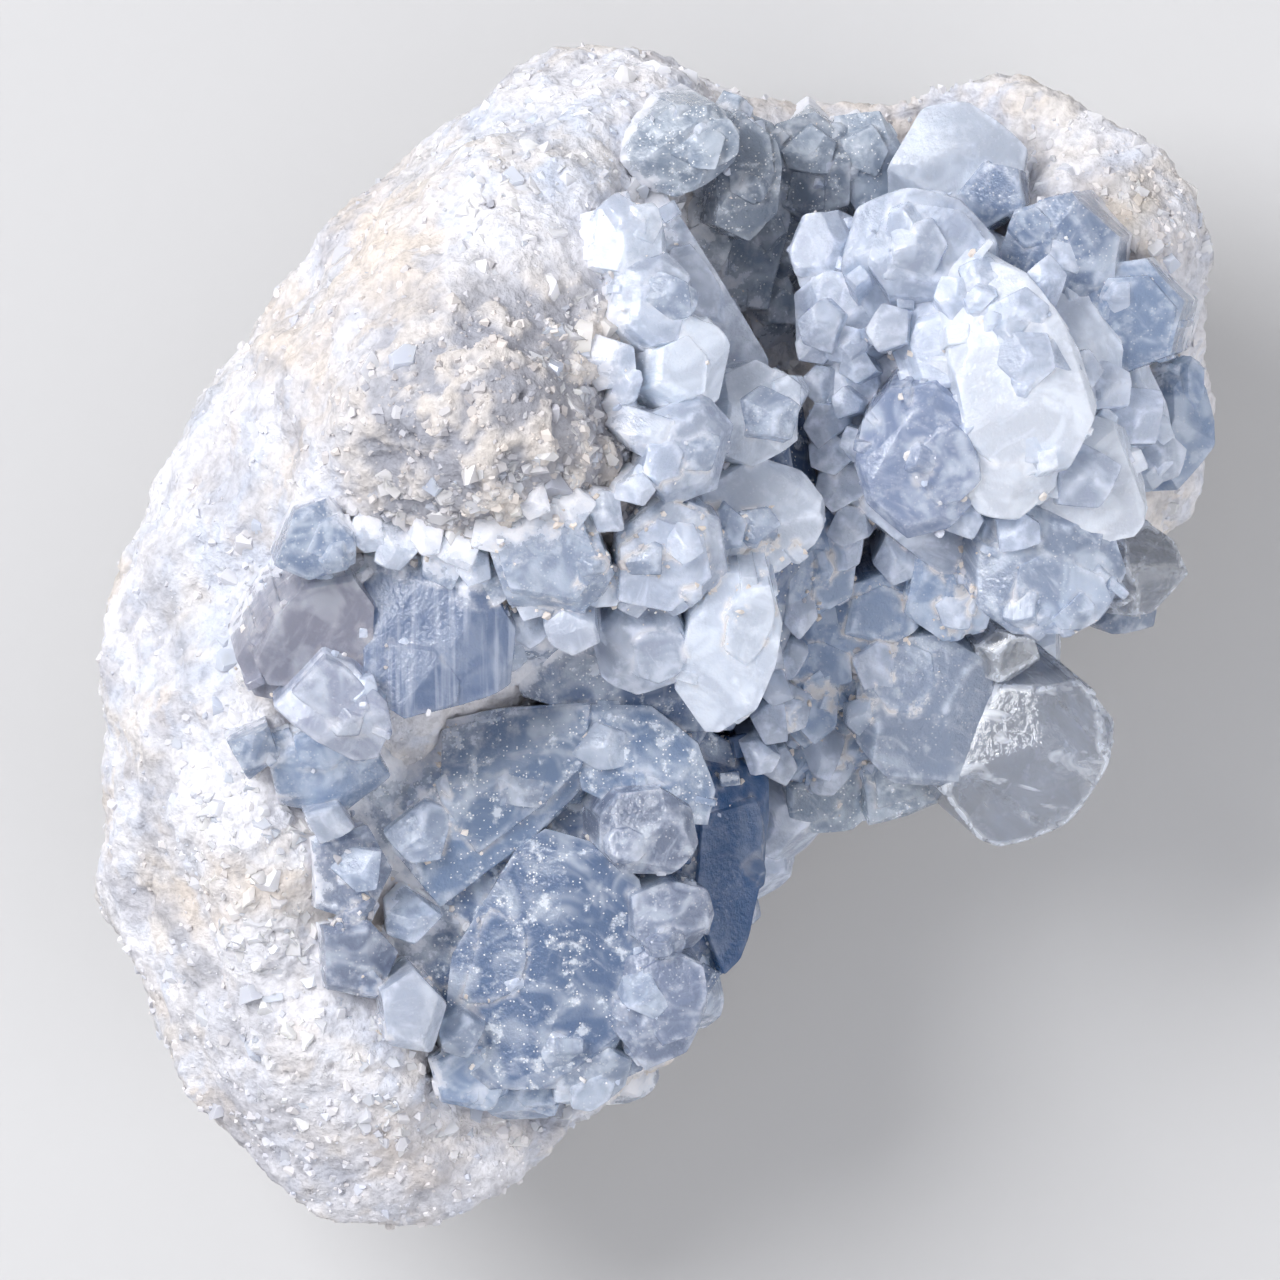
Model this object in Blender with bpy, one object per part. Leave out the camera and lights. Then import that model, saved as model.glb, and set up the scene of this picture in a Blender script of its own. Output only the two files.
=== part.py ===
"""A broken piece of a celestite geode: a wall of white stone with grey-blue crystals grown on its inner side.

The piece lies with its hollow side up and rests on a small flat spot at z = 0. Lengths in this script are
millimetres until a mesh is made. +Y runs along the longest side.
"""

import math
import random
from collections import namedtuple

import bmesh
import bpy
from mathutils import Vector, noise

MM = 0.001

# The piece was measured from above, so a place is written as it is seen from the eye. The drawing is true to
# size at the height of SEEN_PLANE, and a higher point is drawn further from the axis of the eye.
EYE = Vector((-2.0, 0.0, 639.0))
SEEN_PLANE = 35.0

# The stone wall. CENTRE is the middle of the rings that its mesh is made of.
CENTRE = Vector((-5.0, 2.0, 0.0))
SPOKES = 56
RINGS = 13
FLAT_CUT = 2.3
RIM_ROUNDING = 8
LUMP_SIZE = 15.0
LUMP_HEIGHT = 2.8
FINER = 2.3
FINER_SHARE = 0.5
PIT_SIZE = 9.0
PIT_REACH = 0.4
PIT_DEPTH = 3.0

# What touching pieces keep between them. The stone's is wider, because its coarse mesh narrows it in
# the folds.
GAP = 0.4
STONE_GAP = 1.3

# Each crystal is cut from a cube of BLOCK_SIZE. BEVEL_SLOPE sets how flat the planes between head and
# sides lie.
BLOCK_SIZE = 200.0
BEVEL_SLOPE = 0.9
POINT_SIDES = 5
FLANK_SIDES = 6

# The widest line of the stone as seen from above, anticlockwise from the right
STONE_OUTLINE = [
    (45.5, 14), (47.3, 20), (46, 24), (47.6, 31), (46, 34), (44, 38), (40, 42.5), (36, 46),
    (33, 47.6),
    (28, 48), (24, 47.6), (20, 45.5), (15, 45.2), (10, 45.8), (8.5, 46.5), (5, 48.8), (0, 49.5), (-5, 49.7),
    (-10, 48.7), (-15, 46.6), (-20, 43.5), (-25, 38), (-30, 31.8), (-35, 26), (-37.5, 22.5), (-41, 16),
    (-44.5, 10), (-46, 5), (-47, 0), (-47.2, -5), (-48, -10), (-47.6, -15), (-47, -20), (-46.5, -25),
    (-44.5, -30), (-42, -35), (-40, -40), (-35.5, -45), (-33, -47.3), (-27, -49.4), (-20, -49.9),
    (-15, -48.3), (-12, -45.5), (-8.5, -41.5), (-3.5, -38), (1, -34), (4.5, -28), (7, -21.5), (10, -17.5),
    (15, -14.5), (21, -12), (27, -8), (32, -2), (37.5, 3.5), (42, 8),
]

# The height of the widest line, as (degrees around the centre, height)
EDGE_HEIGHTS = [
    (0, 20), (25, 27), (40, 33), (55, 30), (68, 22), (80, 22), (95, 26), (125, 28), (160, 30), (200, 31),
    (235, 33), (255, 33), (272, 30), (285, 22), (305, 17), (330, 16),
]

# The stone's upper surface, on a lattice of 10 mm: one row for each y, from x = -45 to x = 45
LATTICE_STEP = 10.0
LATTICE_START = -45.0
SURFACE_ROWS = {
    45: [28, 28, 34, 45, 49, 42, 24, 27, 38, 38],
    35: [28, 36, 53, 59, 56, 30, 20, 28, 45, 42],
    25: [30, 48, 61, 65, 60, 32, 22, 32, 40, 38],
    15: [36, 54, 65, 68, 66, 47, 28, 33, 34, 30],
    5: [40, 52, 53, 56, 50, 41, 25, 27, 27, 24],
    -5: [42, 52, 46, 43, 36, 28, 21, 20, 20, 20],
    -15: [42, 52, 42, 31, 27, 22, 17, 17, 17, 17],
    -25: [38, 50, 41, 30, 24, 19, 17, 17, 17, 17],
    -35: [34, 44, 42, 33, 25, 20, 17, 17, 17, 17],
    -45: [32, 36, 40, 38, 27, 20, 17, 17, 17, 17],
}
SURFACE_SOFTNESS = 6.0

# A crystal that shows its head. outline is where its rim is seen, in order; top is the height of its head;
# faces are the head's planes as (azimuth, tilt) of each normal; lean is the (azimuth, tilt) of its growth;
# bevel is the width of the small planes between head and sides; root is its length down into the stone.
Crystal = namedtuple("Crystal", "outline top faces lean bevel root", defaults=(((0, 0),), (0, 0), 1.2, 26))

# A small crystal that stands out of the others: where its tip is seen, its height, growth and radius. All of
# them are sunk by POINT_DEPTH.
POINT_DEPTH = 1.0
Point = namedtuple("Point", "x y top lean radius root", defaults=(14,))

BLUE_CRYSTALS = [
    # The broad mass at the bottom left, and the dusty face in its middle
    Crystal(
        [(-25, -9), (-14, -6), (-5, -5.2), (1, -6.4), (6, -9), (7, -18), (5, -28), (0, -36), (-8, -39.5),
         (-17, -37), (-24, -30), (-27, -18)],
        top=40.5, faces=((-60, 6),), bevel=1.6, root=22,
    ),
    Crystal(
        [(-19, -36), (-18, -27), (-12.5, -18), (-10, -16.2), (-5.5, -17.5), (-2, -20.5), (-1, -28), (-4, -35),
         (-9, -38.5), (-15, -38.5)],
        top=43.5, faces=((200, 13), (-60, 9)), bevel=1.0, root=22,
    ),
    Crystal([(-23, -8), (-14, -6), (-6, -5.5), (-7, -13), (-11, -17), (-19, -23), (-24, -17)],
            top=44.5, faces=((-100, 12), (150, 16)), bevel=1.0),
    Crystal([(-8, -5.6), (-1, -5.8), (3, -9), (4.5, -13), (3.8, -16), (-1, -15.5), (-7, -13)],
            top=46, faces=((60, 14), (-110, 18)), bevel=1.0),
    # The deep blue face that looks to the right
    Crystal([(1, -11), (4, -9.3), (8.5, -8.4), (9.9, -12), (10, -15), (9, -20.5), (7.5, -26), (6.5, -28.8),
             (4, -30.3), (0, -22)],
            top=38.5, faces=((0, 34),), lean=(-15, 14), bevel=0.7, root=20),
    # Rounded heads along the mass's lower right side
    Crystal([(-5, -15.5), (-3.5, -13.5), (0, -13), (3, -15), (3.6, -18), (1.2, -20.6), (-3, -20.5),
             (-4.9, -18.5)], top=48, faces=((-45, 18), (120, 12)), lean=(-40, 20), bevel=1.5),
    Crystal([(-2.6, -22), (0.5, -20.6), (4, -21.5), (5.1, -24), (3.6, -27), (0, -27.7), (-2.4, -25.5)],
            top=45, faces=((-20, 20),), lean=(-30, 20), bevel=1.4),
    Crystal([(-3.2, -28), (0, -26.3), (3.6, -28), (4.1, -32), (2.6, -36), (-1, -37.5), (-3.7, -34)],
            top=44.5, faces=((-60, 14), (100, 8)), lean=(-50, 22), bevel=1.5),
    Crystal([(-9.3, -36), (-5, -34.3), (-2.4, -36.5), (-2.9, -39), (-6, -41), (-9, -40)],
            top=41, faces=((-60, 26),), lean=(-70, 25), bevel=1.2),
    Crystal([(-15.5, -37), (-11, -35.5), (-8.5, -38.5), (-9.7, -42), (-13.5, -42.3), (-16, -39.5)],
            top=39, faces=((-90, 22),), lean=(-90, 20), bevel=1.2),
    Crystal([(-20, -36), (-16, -34), (-13, -37), (-14.5, -40.5), (-19, -40)],
            top=41, faces=((-100, 16),), lean=(-90, 12), bevel=0.9),
    Crystal([(-24, -30), (-21, -28.3), (-18, -31.5), (-19.3, -35.7), (-23.3, -34.7)],
            top=47.5, faces=((-20, 14),), lean=(-40, 12), bevel=0.8),
    # The smaller ones between the mass and the stone at the left
    Crystal([(-30, -17), (-25, -16), (-22.5, -20), (-25, -24.5), (-29.5, -23)],
            top=46.5, faces=((-30, 16),), lean=(-20, 14), bevel=1.0, root=18),
    Crystal([(-29, -24.5), (-25, -24), (-22, -27), (-24, -31), (-28.5, -30)],
            top=46.5, faces=((-50, 18),), lean=(-20, 14), bevel=1.0, root=18),
    Crystal([(-34, -8.5), (-29, -7), (-25, -8.5), (-22.8, -12.5), (-27, -15.8), (-32.5, -14.8)],
            top=49.5, faces=((-80, 20),), lean=(-60, 12), bevel=1.3, root=20),
    Crystal([(-30.5, -15), (-27.5, -14.3), (-26, -16.5), (-29, -18)],
            top=50, faces=((-60, 14),), lean=(-60, 14), bevel=0.7, root=16),
    Crystal([(-37, -9), (-33.5, -7.5), (-32.5, -10.5), (-35, -12.5)],
            top=52, faces=((-60, 18),), lean=(-60, 14), bevel=0.7, root=14),
    # The wide pair under the plateau, the white face that lies on it and the dark one above
    Crystal([(-36, -3.2), (-33.8, 1.5), (-30.6, 5), (-25.5, 6.3), (-23, 2.5), (-23.3, -5.2), (-29, -6.6),
             (-34.3, -6.6)], top=55, faces=((-80, 12),), lean=(-70, 26), bevel=1.1),
    Crystal([(-25.3, 5.7), (-17, 6.3), (-14, 2.7), (-12.4, 0), (-12.8, -4.9), (-17, -6.3), (-22, -7.3),
             (-25.4, -5.2)], top=56, faces=((-60, 12), (170, 8)), lean=(-80, 26), bevel=1.2),
    Crystal([(-33.2, -6.3), (-28.8, -1.4), (-26.2, -2.6), (-23.5, -5.4), (-23, -8), (-24.2, -11.2),
             (-26.2, -11.4)], top=57, faces=((-110, 10),), lean=(-80, 18), bevel=0.7),
    Crystal([(-33, 6), (-31.3, 10.7), (-28.4, 11.8), (-26, 9), (-26, 6), (-30, 4.7)],
            top=59, faces=((-50, 14),), lean=(-60, 10), bevel=1.0),
    # The body behind the heads in the middle, and its arm along the hollow's left edge
    Crystal([(-16, 6), (-8, 10), (3, 22), (12, 20), (14, 9), (10.5, -1), (6, -8), (-2, -8), (-12, -5)],
            top=45, faces=((-45, 14),), bevel=2, root=26),
    Crystal([(-8, 30), (-6, 37), (0, 38.5), (4, 32), (9, 24), (9, 16), (-2, 18)],
            top=49, faces=((10, 18),), bevel=2, root=24),
    Crystal([(-28, 5), (-22, 8), (-12, 9), (-6, 2), (-12, -4), (-24, -6)],
            top=49, faces=((-80, 12),), bevel=2, root=20),
    Crystal([(-36, -6), (-30, 2), (-22, -2), (-20, -12), (-22, -30), (-27, -30), (-32, -20)],
            top=43.5, faces=((-30, 14),), bevel=2, root=18),
    # Heads that hang over the mass in the middle
    Crystal([(-10.2, 0.9), (-8.6, 2.3), (-5.8, 1.2), (-5.3, -0.6), (-7.6, -2), (-9.6, -0.9)],
            top=56, faces=((-90, 22),), lean=(-90, 30), bevel=0.6, root=14),
    Crystal([(-6.2, 0), (-4, 2.2), (1, 2.5), (2.4, -1), (1.2, -4.7), (-2, -6.2), (-5.2, -4.7)],
            top=52, faces=((-80, 16),), lean=(-85, 26), bevel=1.4),
    Crystal([(2.2, 1.5), (4.8, 5.6), (9, 5.4), (10.2, 1), (9.6, -3), (8, -7.1), (5.2, -9.8), (4, -10.1),
             (1.3, -6)], top=53, faces=((-60, 16), (-130, 20)), lean=(-80, 28), bevel=1.3),
    Crystal([(-15, 8), (-12, 11), (-6, 10), (-4, 5), (-7, 1), (-13, 2)],
            top=58.5, faces=((-80, 18),), lean=(-80, 14), bevel=1.5, root=18),
    Crystal([(-4, 9), (0, 12), (5, 10), (6, 5), (2, 1.5), (-4, 3)],
            top=55.5, faces=((-50, 16),), lean=(-60, 16), bevel=1.5, root=18),
    # The blocky blue-grey one to the right of the plateau, and those along the hollow's left edge
    Crystal([(3.2, 12.5), (9, 15.2), (13.5, 13.8), (15.2, 11), (14.3, 7.5), (11.2, 5.2), (6, 5), (2.8, 8)],
            top=50, faces=((-20, 12), (60, 20)), lean=(-15, 32), bevel=1.4),
    Crystal([(4.6, 16), (5.4, 22.3), (9, 23.8), (12.8, 21.6), (12.8, 17), (9, 14.7)],
            top=51, faces=((20, 16),), lean=(5, 34), bevel=1.6),
    Crystal([(-2, 14), (-1, 19), (4, 21), (7, 18), (5.5, 12.5), (1, 11)],
            top=57.5, faces=((-10, 20),), lean=(-10, 16), bevel=1.6, root=18),
    Crystal([(-1.5, 21), (-1, 26.2), (3.6, 28), (6.7, 25.4), (6.2, 20.5), (2, 19)],
            top=56.5, faces=((10, 20),), lean=(10, 32), bevel=1.4, root=18),
    Crystal([(-4.5, 27), (-3.5, 31.6), (1.5, 33), (4.4, 29.5), (3, 25.5), (-1, 24.5)],
            top=57, faces=((15, 20),), lean=(10, 32), bevel=1.3, root=18),
    Crystal([(-6, 31.5), (-5, 36.5), (0, 37.2), (1.6, 33.5), (-0.8, 30)],
            top=56.5, faces=((10, 24),), lean=(10, 32), bevel=1.2, root=16),
]

PALE_CRYSTALS = [
    # The broad body under the right cluster, and the lower one under the small crystals
    Crystal([(13, 22), (15, 34), (24, 37), (32, 33), (38, 24), (41, 15), (36, 5), (24, 5), (15, 12)],
            top=42, faces=((60, 4),), bevel=3, root=18),
    Crystal([(10.5, 9), (20, 10), (34, 4), (30, -4), (25, -11), (15, -13), (10, -12), (10.2, -3)],
            top=32, faces=((-40, 6),), bevel=2, root=14),
    # Heads of the right cluster, from the top down
    Crystal([(19, 40), (22, 46), (26, 46.6), (31, 43), (30.5, 39.5), (25, 37.4)],
            top=40, faces=((110, 20), (-60, 16), (20, 22)), lean=(95, 28), bevel=1.0, root=20),
    Crystal([(9.6, 33), (11, 36.2), (15, 36.5), (16.7, 33.5), (15.2, 30), (11, 29.7)],
            top=44.5, faces=((150, 16),), lean=(160, 34), bevel=1.5),
    Crystal([(14.8, 32), (16.3, 37.1), (20, 38.9), (25, 38.2), (28.2, 34.5), (27.4, 30.3), (22, 29),
             (17, 29)], top=49.5, faces=((110, 12), (-40, 10)), lean=(115, 22), bevel=2.2, root=28),
    Crystal([(9.8, 25), (10.3, 29.3), (14, 31.3), (18.3, 30.3), (19.4, 26), (16, 23.2), (12, 23.2)],
            top=45, faces=((190, 14),), lean=(180, 30), bevel=1.6),
    Crystal([(17, 26), (18.4, 28.5), (20.8, 27.8), (20.7, 25), (18.2, 24.2)],
            top=49.5, faces=((200, 10),), lean=(180, 10), bevel=0.8, root=14),
    Crystal([(19, 25), (20, 30), (25, 31), (27, 26), (25, 21), (20.5, 21)],
            top=48.5, faces=((160, 14),), lean=(160, 8), bevel=1.6),
    Crystal([(24.3, 31), (27.5, 34.6), (31.2, 31.5), (35.8, 25), (37.4, 20), (35.3, 15), (30, 14), (26.2, 17),
             (24.8, 24)], top=52.5, faces=((30, 14), (200, 9)), lean=(40, 14), bevel=1.8, root=30),
    Crystal([(19, 20.7), (23, 21.4), (25.7, 19.2), (27.2, 15), (27.2, 12), (24.2, 8.8), (20.5, 7.8),
             (17.1, 10.8), (16, 14), (16.6, 17.6)],
            top=51, faces=((-110, 10),), lean=(-115, 18), bevel=1.9, root=28),
    Crystal([(26.8, 19), (31, 20.3), (34.4, 17), (34, 12), (30.5, 9.5), (27, 10.2), (25.4, 13)],
            top=50.5, faces=((-60, 12), (90, 8)), lean=(-60, 20), bevel=1.4, root=28),
    Crystal([(33, 17), (36, 19.2), (40.7, 17.5), (43, 13), (41.5, 8.2), (36, 7.5), (32.7, 10.5)],
            top=47, faces=((-20, 16),), lean=(-15, 32), bevel=1.8),
    Crystal([(27.6, 9.6), (31, 11), (34.2, 9.9), (39.2, 7.5), (40.5, 4), (38.5, 1.3), (35, -0.3), (30, -0.3),
             (27.1, 2), (27, 6)], top=47, faces=((-80, 13), (20, 9)), lean=(-60, 32), bevel=1.6, root=28),
    Crystal([(38, 8.5), (41.3, 9.8), (44.7, 8), (46.6, 5.2), (43.6, 1.7), (40, 1.7), (37.5, 4)],
            top=39.5, faces=((-20, 26),), lean=(-10, 48), bevel=0.9),
    Crystal([(37.5, 3), (40, 3.8), (43.2, 3), (43.3, 0.7), (39, 0), (37, 1)],
            top=35, faces=((-40, 24),), lean=(-20, 45), bevel=0.7, root=18),
    Crystal([(33.5, 30), (37, 31), (39.8, 27), (40, 20), (37, 16), (34.5, 20), (33, 26)],
            top=46, faces=((20, 24),), lean=(20, 28), bevel=1.4),
    Crystal([(38, 24), (42, 25), (44.5, 20), (44.5, 14), (41, 12), (38.5, 16)],
            top=42, faces=((0, 26),), lean=(0, 38), bevel=1.3),
    Crystal([(42.5, 22), (45, 24.5), (47.7, 22), (47.9, 16), (45.3, 12.5), (42.5, 15)],
            top=36, faces=((0, 28),), lean=(0, 42), bevel=1.1, root=16),
    # Blue windows at the right lobe's inner edge
    Crystal([(27.8, 32), (29.5, 36.3), (34.8, 37.8), (38.8, 34), (38, 29.5), (32, 27.5)],
            top=46, faces=((-120, 20),), lean=(200, 16), bevel=0.8, root=16),
    Crystal([(35, 27), (37, 31.6), (41, 32.2), (44.2, 28.5), (43, 24), (38, 22)],
            top=45, faces=((-100, 20),), lean=(200, 12), bevel=0.8, root=16),
    Crystal([(24.5, 37.5), (27, 40.5), (30.3, 39.8), (30.8, 36.5), (27, 34.8)],
            top=41, faces=((200, 22),), lean=(180, 10), bevel=0.8, root=18),
    # The small ones between the two groups
    Crystal([(9.9, 2.2), (10.3, 8.7), (14, 10.8), (17, 8.2), (16.4, 3), (13, 1.2)],
            top=41, faces=((-30, 20),), lean=(-60, 18), bevel=1.1),
    Crystal([(14.6, 0.3), (15.2, 4.3), (18.5, 5.6), (22.3, 4.2), (22.7, 0.8), (19, -1.2)],
            top=38.5, faces=((-60, 16),), lean=(-60, 18), bevel=1.2),
    Crystal([(20.7, 1.5), (21.7, 7.8), (26, 8.9), (28.8, 5), (27.8, 0.2), (24, -0.9)],
            top=41, faces=((-100, 22), (30, 12)), lean=(-80, 18), bevel=1.3),
    Crystal([(10.4, -4), (11, 1.7), (16, 2.8), (20.4, 0.6), (20.4, -4.3), (15, -5.9)],
            top=38, faces=((-120, 16), (40, 12)), lean=(-90, 16), bevel=1.2),
    Crystal([(16.7, -5), (18.8, -0.7), (24, -0.2), (28.3, -2.8), (28.8, -8.5), (25.6, -13.6), (20, -13.3),
             (16.7, -9.6)], top=39, faces=((-70, 14), (100, 10)), lean=(-70, 22), bevel=2.2),
    Crystal([(9.9, -7.6), (10.4, -2), (12.5, 0.2), (15, -2.5), (14.8, -8.2), (12.3, -10.7)],
            top=36.5, faces=((-100, 22),), lean=(-80, 18), bevel=1.0),
    Crystal([(26.8, -1), (28.5, 0.6), (31.6, -0.1), (32.6, -2.5), (30, -4.3), (27.3, -3.7)],
            top=38.5, faces=((-60, 18),), lean=(-50, 28), bevel=0.8, root=20),
    # The clear crystal that stands free, pointing to the lower right
    Crystal([(24.7, -14), (26.3, -10.3), (29.5, -4.9), (36.5, -4.5), (39.9, -8.3), (38.4, -12), (35.1, -16.8),
             (32, -18.5), (30, -19.1), (28.2, -18.4)],
            top=39, faces=((-30, 16), (150, 14)), lean=(-42, 34), bevel=2.4, root=26),
    # Dark ones under the lower edge
    Crystal([(10.2, -12), (15, -9.5), (18, -12), (17.7, -17), (13, -18), (10.4, -17)],
            top=29, faces=((-80, 26),), lean=(-80, 34), bevel=1.1, root=16),
    Crystal([(17, -12), (19, -9.3), (24.4, -11), (26.3, -14.5), (21, -16.4), (17.8, -17)],
            top=31, faces=((-60, 24),), lean=(-70, 34), bevel=1.1, root=16),
]

HOLLOW_CRYSTALS = [
    # The floor of the hollow, and the striped face at its upper left
    Crystal([(-3, 24), (-4, 44), (5, 47), (20, 46), (24, 40), (18, 30), (12, 22), (4, 20)],
            top=24.5, faces=((80, 6),), bevel=2, root=14),
    Crystal([(1, 29), (-3, 38), (-2, 43), (4, 45.6), (9.5, 44), (11, 36), (9, 28)],
            top=38.5, faces=((-20, 26),), bevel=2, root=20),
    Crystal([(-2.3, 42.6), (1, 45), (4.6, 45.3), (7, 42.7), (6.8, 40), (4.5, 38.2), (1.5, 37), (-1.7, 38.3),
             (-3.3, 40.2)], top=47.5, faces=((-60, 16),), lean=(-40, 22), bevel=1.2, root=26),
    Crystal([(4.5, 35), (5, 42), (7.6, 44.6), (10.4, 42), (10.4, 36), (8, 33.5)],
            top=42.5, faces=((-30, 28), (90, 20)), lean=(-20, 20), bevel=1.0, root=24),
    Crystal([(0.5, 31), (0.8, 37), (4.5, 38.6), (7, 35), (6, 30.5), (3, 29)],
            top=38, faces=((-20, 30),), lean=(-10, 24), bevel=1.2, root=22),
    Crystal([(5, 26), (4.6, 31), (8.5, 33.7), (11, 30), (10.8, 26.5), (8, 24.3)],
            top=31, faces=((170, 18),), lean=(120, 14), bevel=1.1, root=16),
    Crystal([(6, 33), (7, 37), (11, 37.5), (13, 33.5), (10, 30.5)],
            top=32, faces=((120, 20),), lean=(120, 14), bevel=1.2, root=16),
    # The dark saddle at the top
    Crystal([(8.6, 38), (9.6, 43.8), (13, 45), (16, 42.5), (16, 37), (12, 35.8)],
            top=35, faces=((-100, 20), (60, 16)), lean=(60, 8), bevel=1.1, root=20),
    Crystal([(14, 40), (14.6, 44.6), (18.5, 45), (21, 41), (20, 37), (16.5, 36.5)],
            top=34, faces=((-40, 18), (110, 16)), lean=(80, 8), bevel=1.1, root=18),
]

BLUE_POINTS = [
    Point(-18.5, 5.8, 58, (-70, 22), 1.9), Point(-14.6, 4.4, 57, (-60, 20), 2.1),
    Point(-1.5, 6.5, 58, (-60, 14), 1.8), Point(5.2, 8.9, 53.5, (-50, 14), 1.8),
    Point(8.2, 9.4, 52.5, (0, 8), 1.6), Point(-13.2, -1.2, 53, (-40, 26), 1.7),
    Point(2.5, 16, 59, (0, 20), 2.2), Point(9.5, 19, 54, (20, 20), 2.4), Point(0.2, 29, 59, (20, 22), 2.2),
    Point(-12, -13, 46.5, (-80, 18), 2.2), Point(-20.5, -17, 46, (-100, 16), 2.6),
    Point(-21.5, -24, 45.5, (-60, 14), 2.4), Point(-5, -9.5, 48, (-60, 14), 2.1),
    Point(-17.4, -34, 45.5, (-90, 16), 1.9), Point(-9, -35, 44, (-60, 22), 1.9),
    Point(-1.5, -31, 46.5, (-60, 22), 1.8), Point(-25.6, -20, 49, (-30, 18), 2.0),
]

PALE_POINTS = [
    Point(13, 26.5, 48, (180, 20), 2.1), Point(15.5, 21.5, 45, (200, 14), 2.8),
    Point(21.5, 33.5, 52, (110, 10), 2.4), Point(25, 29, 52, (100, 12), 2.2),
    Point(31, 24, 54.5, (30, 12), 2.4), Point(36.5, 13.5, 50, (-10, 18), 2.6),
    Point(40.5, 19, 46, (10, 24), 2.6), Point(42.5, 15.5, 43, (0, 28), 2.3),
    Point(37.5, 21.5, 48, (20, 22), 2.5), Point(30.2, 8.9, 49.5, (-70, 16), 2.0),
    Point(25.5, 10.2, 50, (-80, 18), 1.8), Point(15.6, 7.2, 43, (-60, 20), 1.9),
    Point(19.8, 6.6, 42, (-90, 16), 2.0), Point(18.2, -2.4, 40, (-90, 18), 1.9),
    Point(25, 2.4, 42.5, (-70, 18), 1.9), Point(13.6, -10.2, 34.5, (-90, 30), 2.1),
    Point(34, 33, 47.5, (200, 18), 1.9),
]

HOLLOW_POINTS = [
    Point(9, 28.3, 33.5, (150, 20), 1.9), Point(4.2, 33, 39, (-20, 30), 2.0),
    Point(8.6, 35.2, 36, (100, 20), 1.9), Point(12.5, 41, 37, (-90, 16), 2.0),
    Point(17.5, 41.5, 36, (-60, 16), 2.0), Point(3.5, 41.5, 49.5, (-60, 20), 2.0),
]

# The broken flanks are covered with crystals that point outwards, in rows of (azimuths, height, radius)
BLUE_FLANK = [(range(-88, -60, 9), 25.0, 3.4)]
PALE_FLANK = [(range(-58, 24, 9), 24.5, 3.8), (range(-54, 18, 12), 17.5, 3.4)]
FLANK_LENGTH = 17.0

BLUE = (0.30, 0.40, 0.52, 1.0)
PALE = (0.56, 0.65, 0.74, 1.0)
DARK = (0.13, 0.20, 0.26, 1.0)
STONE = (0.66, 0.66, 0.65, 1.0)


def direction(azimuth, tilt):
    """The unit vector that leans by tilt degrees from straight up, towards azimuth."""
    azimuth, tilt = math.radians(azimuth), math.radians(tilt)
    return Vector((math.sin(tilt) * math.cos(azimuth), math.sin(tilt) * math.sin(azimuth), math.cos(tilt)))


def seen(x, y, z):
    """The real place of a point at height z that is seen at x, y."""
    scale = (EYE.z - z) / (EYE.z - SEEN_PLANE)
    return Vector((EYE.x + (x - EYE.x) * scale, EYE.y + (y - EYE.y) * scale, z))


def around(table, angle):
    """Reads a table of (degrees, value) that closes on itself, with straight runs between its rows."""
    angle %= 360
    rows = sorted((degrees % 360, value) for degrees, value in table)
    rows = [(rows[-1][0] - 360, rows[-1][1])] + rows + [(rows[0][0] + 360, rows[0][1])]
    for (before, low), (after, high) in zip(rows, rows[1:]):
        if before <= angle <= after:
            return low + (high - low) * (angle - before) / max(after - before, 1e-6)
    return rows[0][1]


def stone_radii():
    """The stone's outline as (degrees, distance) from the centre."""
    radii = []
    for x, y in STONE_OUTLINE:
        arm = seen(x, y, SEEN_PLANE) - CENTRE
        radii.append((math.degrees(math.atan2(arm.y, arm.x)), math.hypot(arm.x, arm.y)))
    return radii


def surface_height(x, y):
    """The height of the stone's upper surface: the lattice's heights, each weighed by how near it lies."""
    total = weight = 0.0
    for row_y, heights in SURFACE_ROWS.items():
        for column, height in enumerate(heights):
            away = (x - LATTICE_START - column * LATTICE_STEP) ** 2 + (y - row_y) ** 2
            share = math.exp(-away / (2 * SURFACE_SOFTNESS**2))
            total += height * share
            weight += share
    return total / weight


def stone_relief(place):
    """How far the stone stands out at this place: broad lumps, less the pits between its grains."""
    lumps = noise.noise(place / LUMP_SIZE) + FINER_SHARE * noise.noise(place * FINER / LUMP_SIZE)
    nearest = noise.voronoi(place / PIT_SIZE)[0][0]
    return LUMP_HEIGHT * lumps - PIT_DEPTH * max(0.0, PIT_REACH - nearest)


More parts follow.
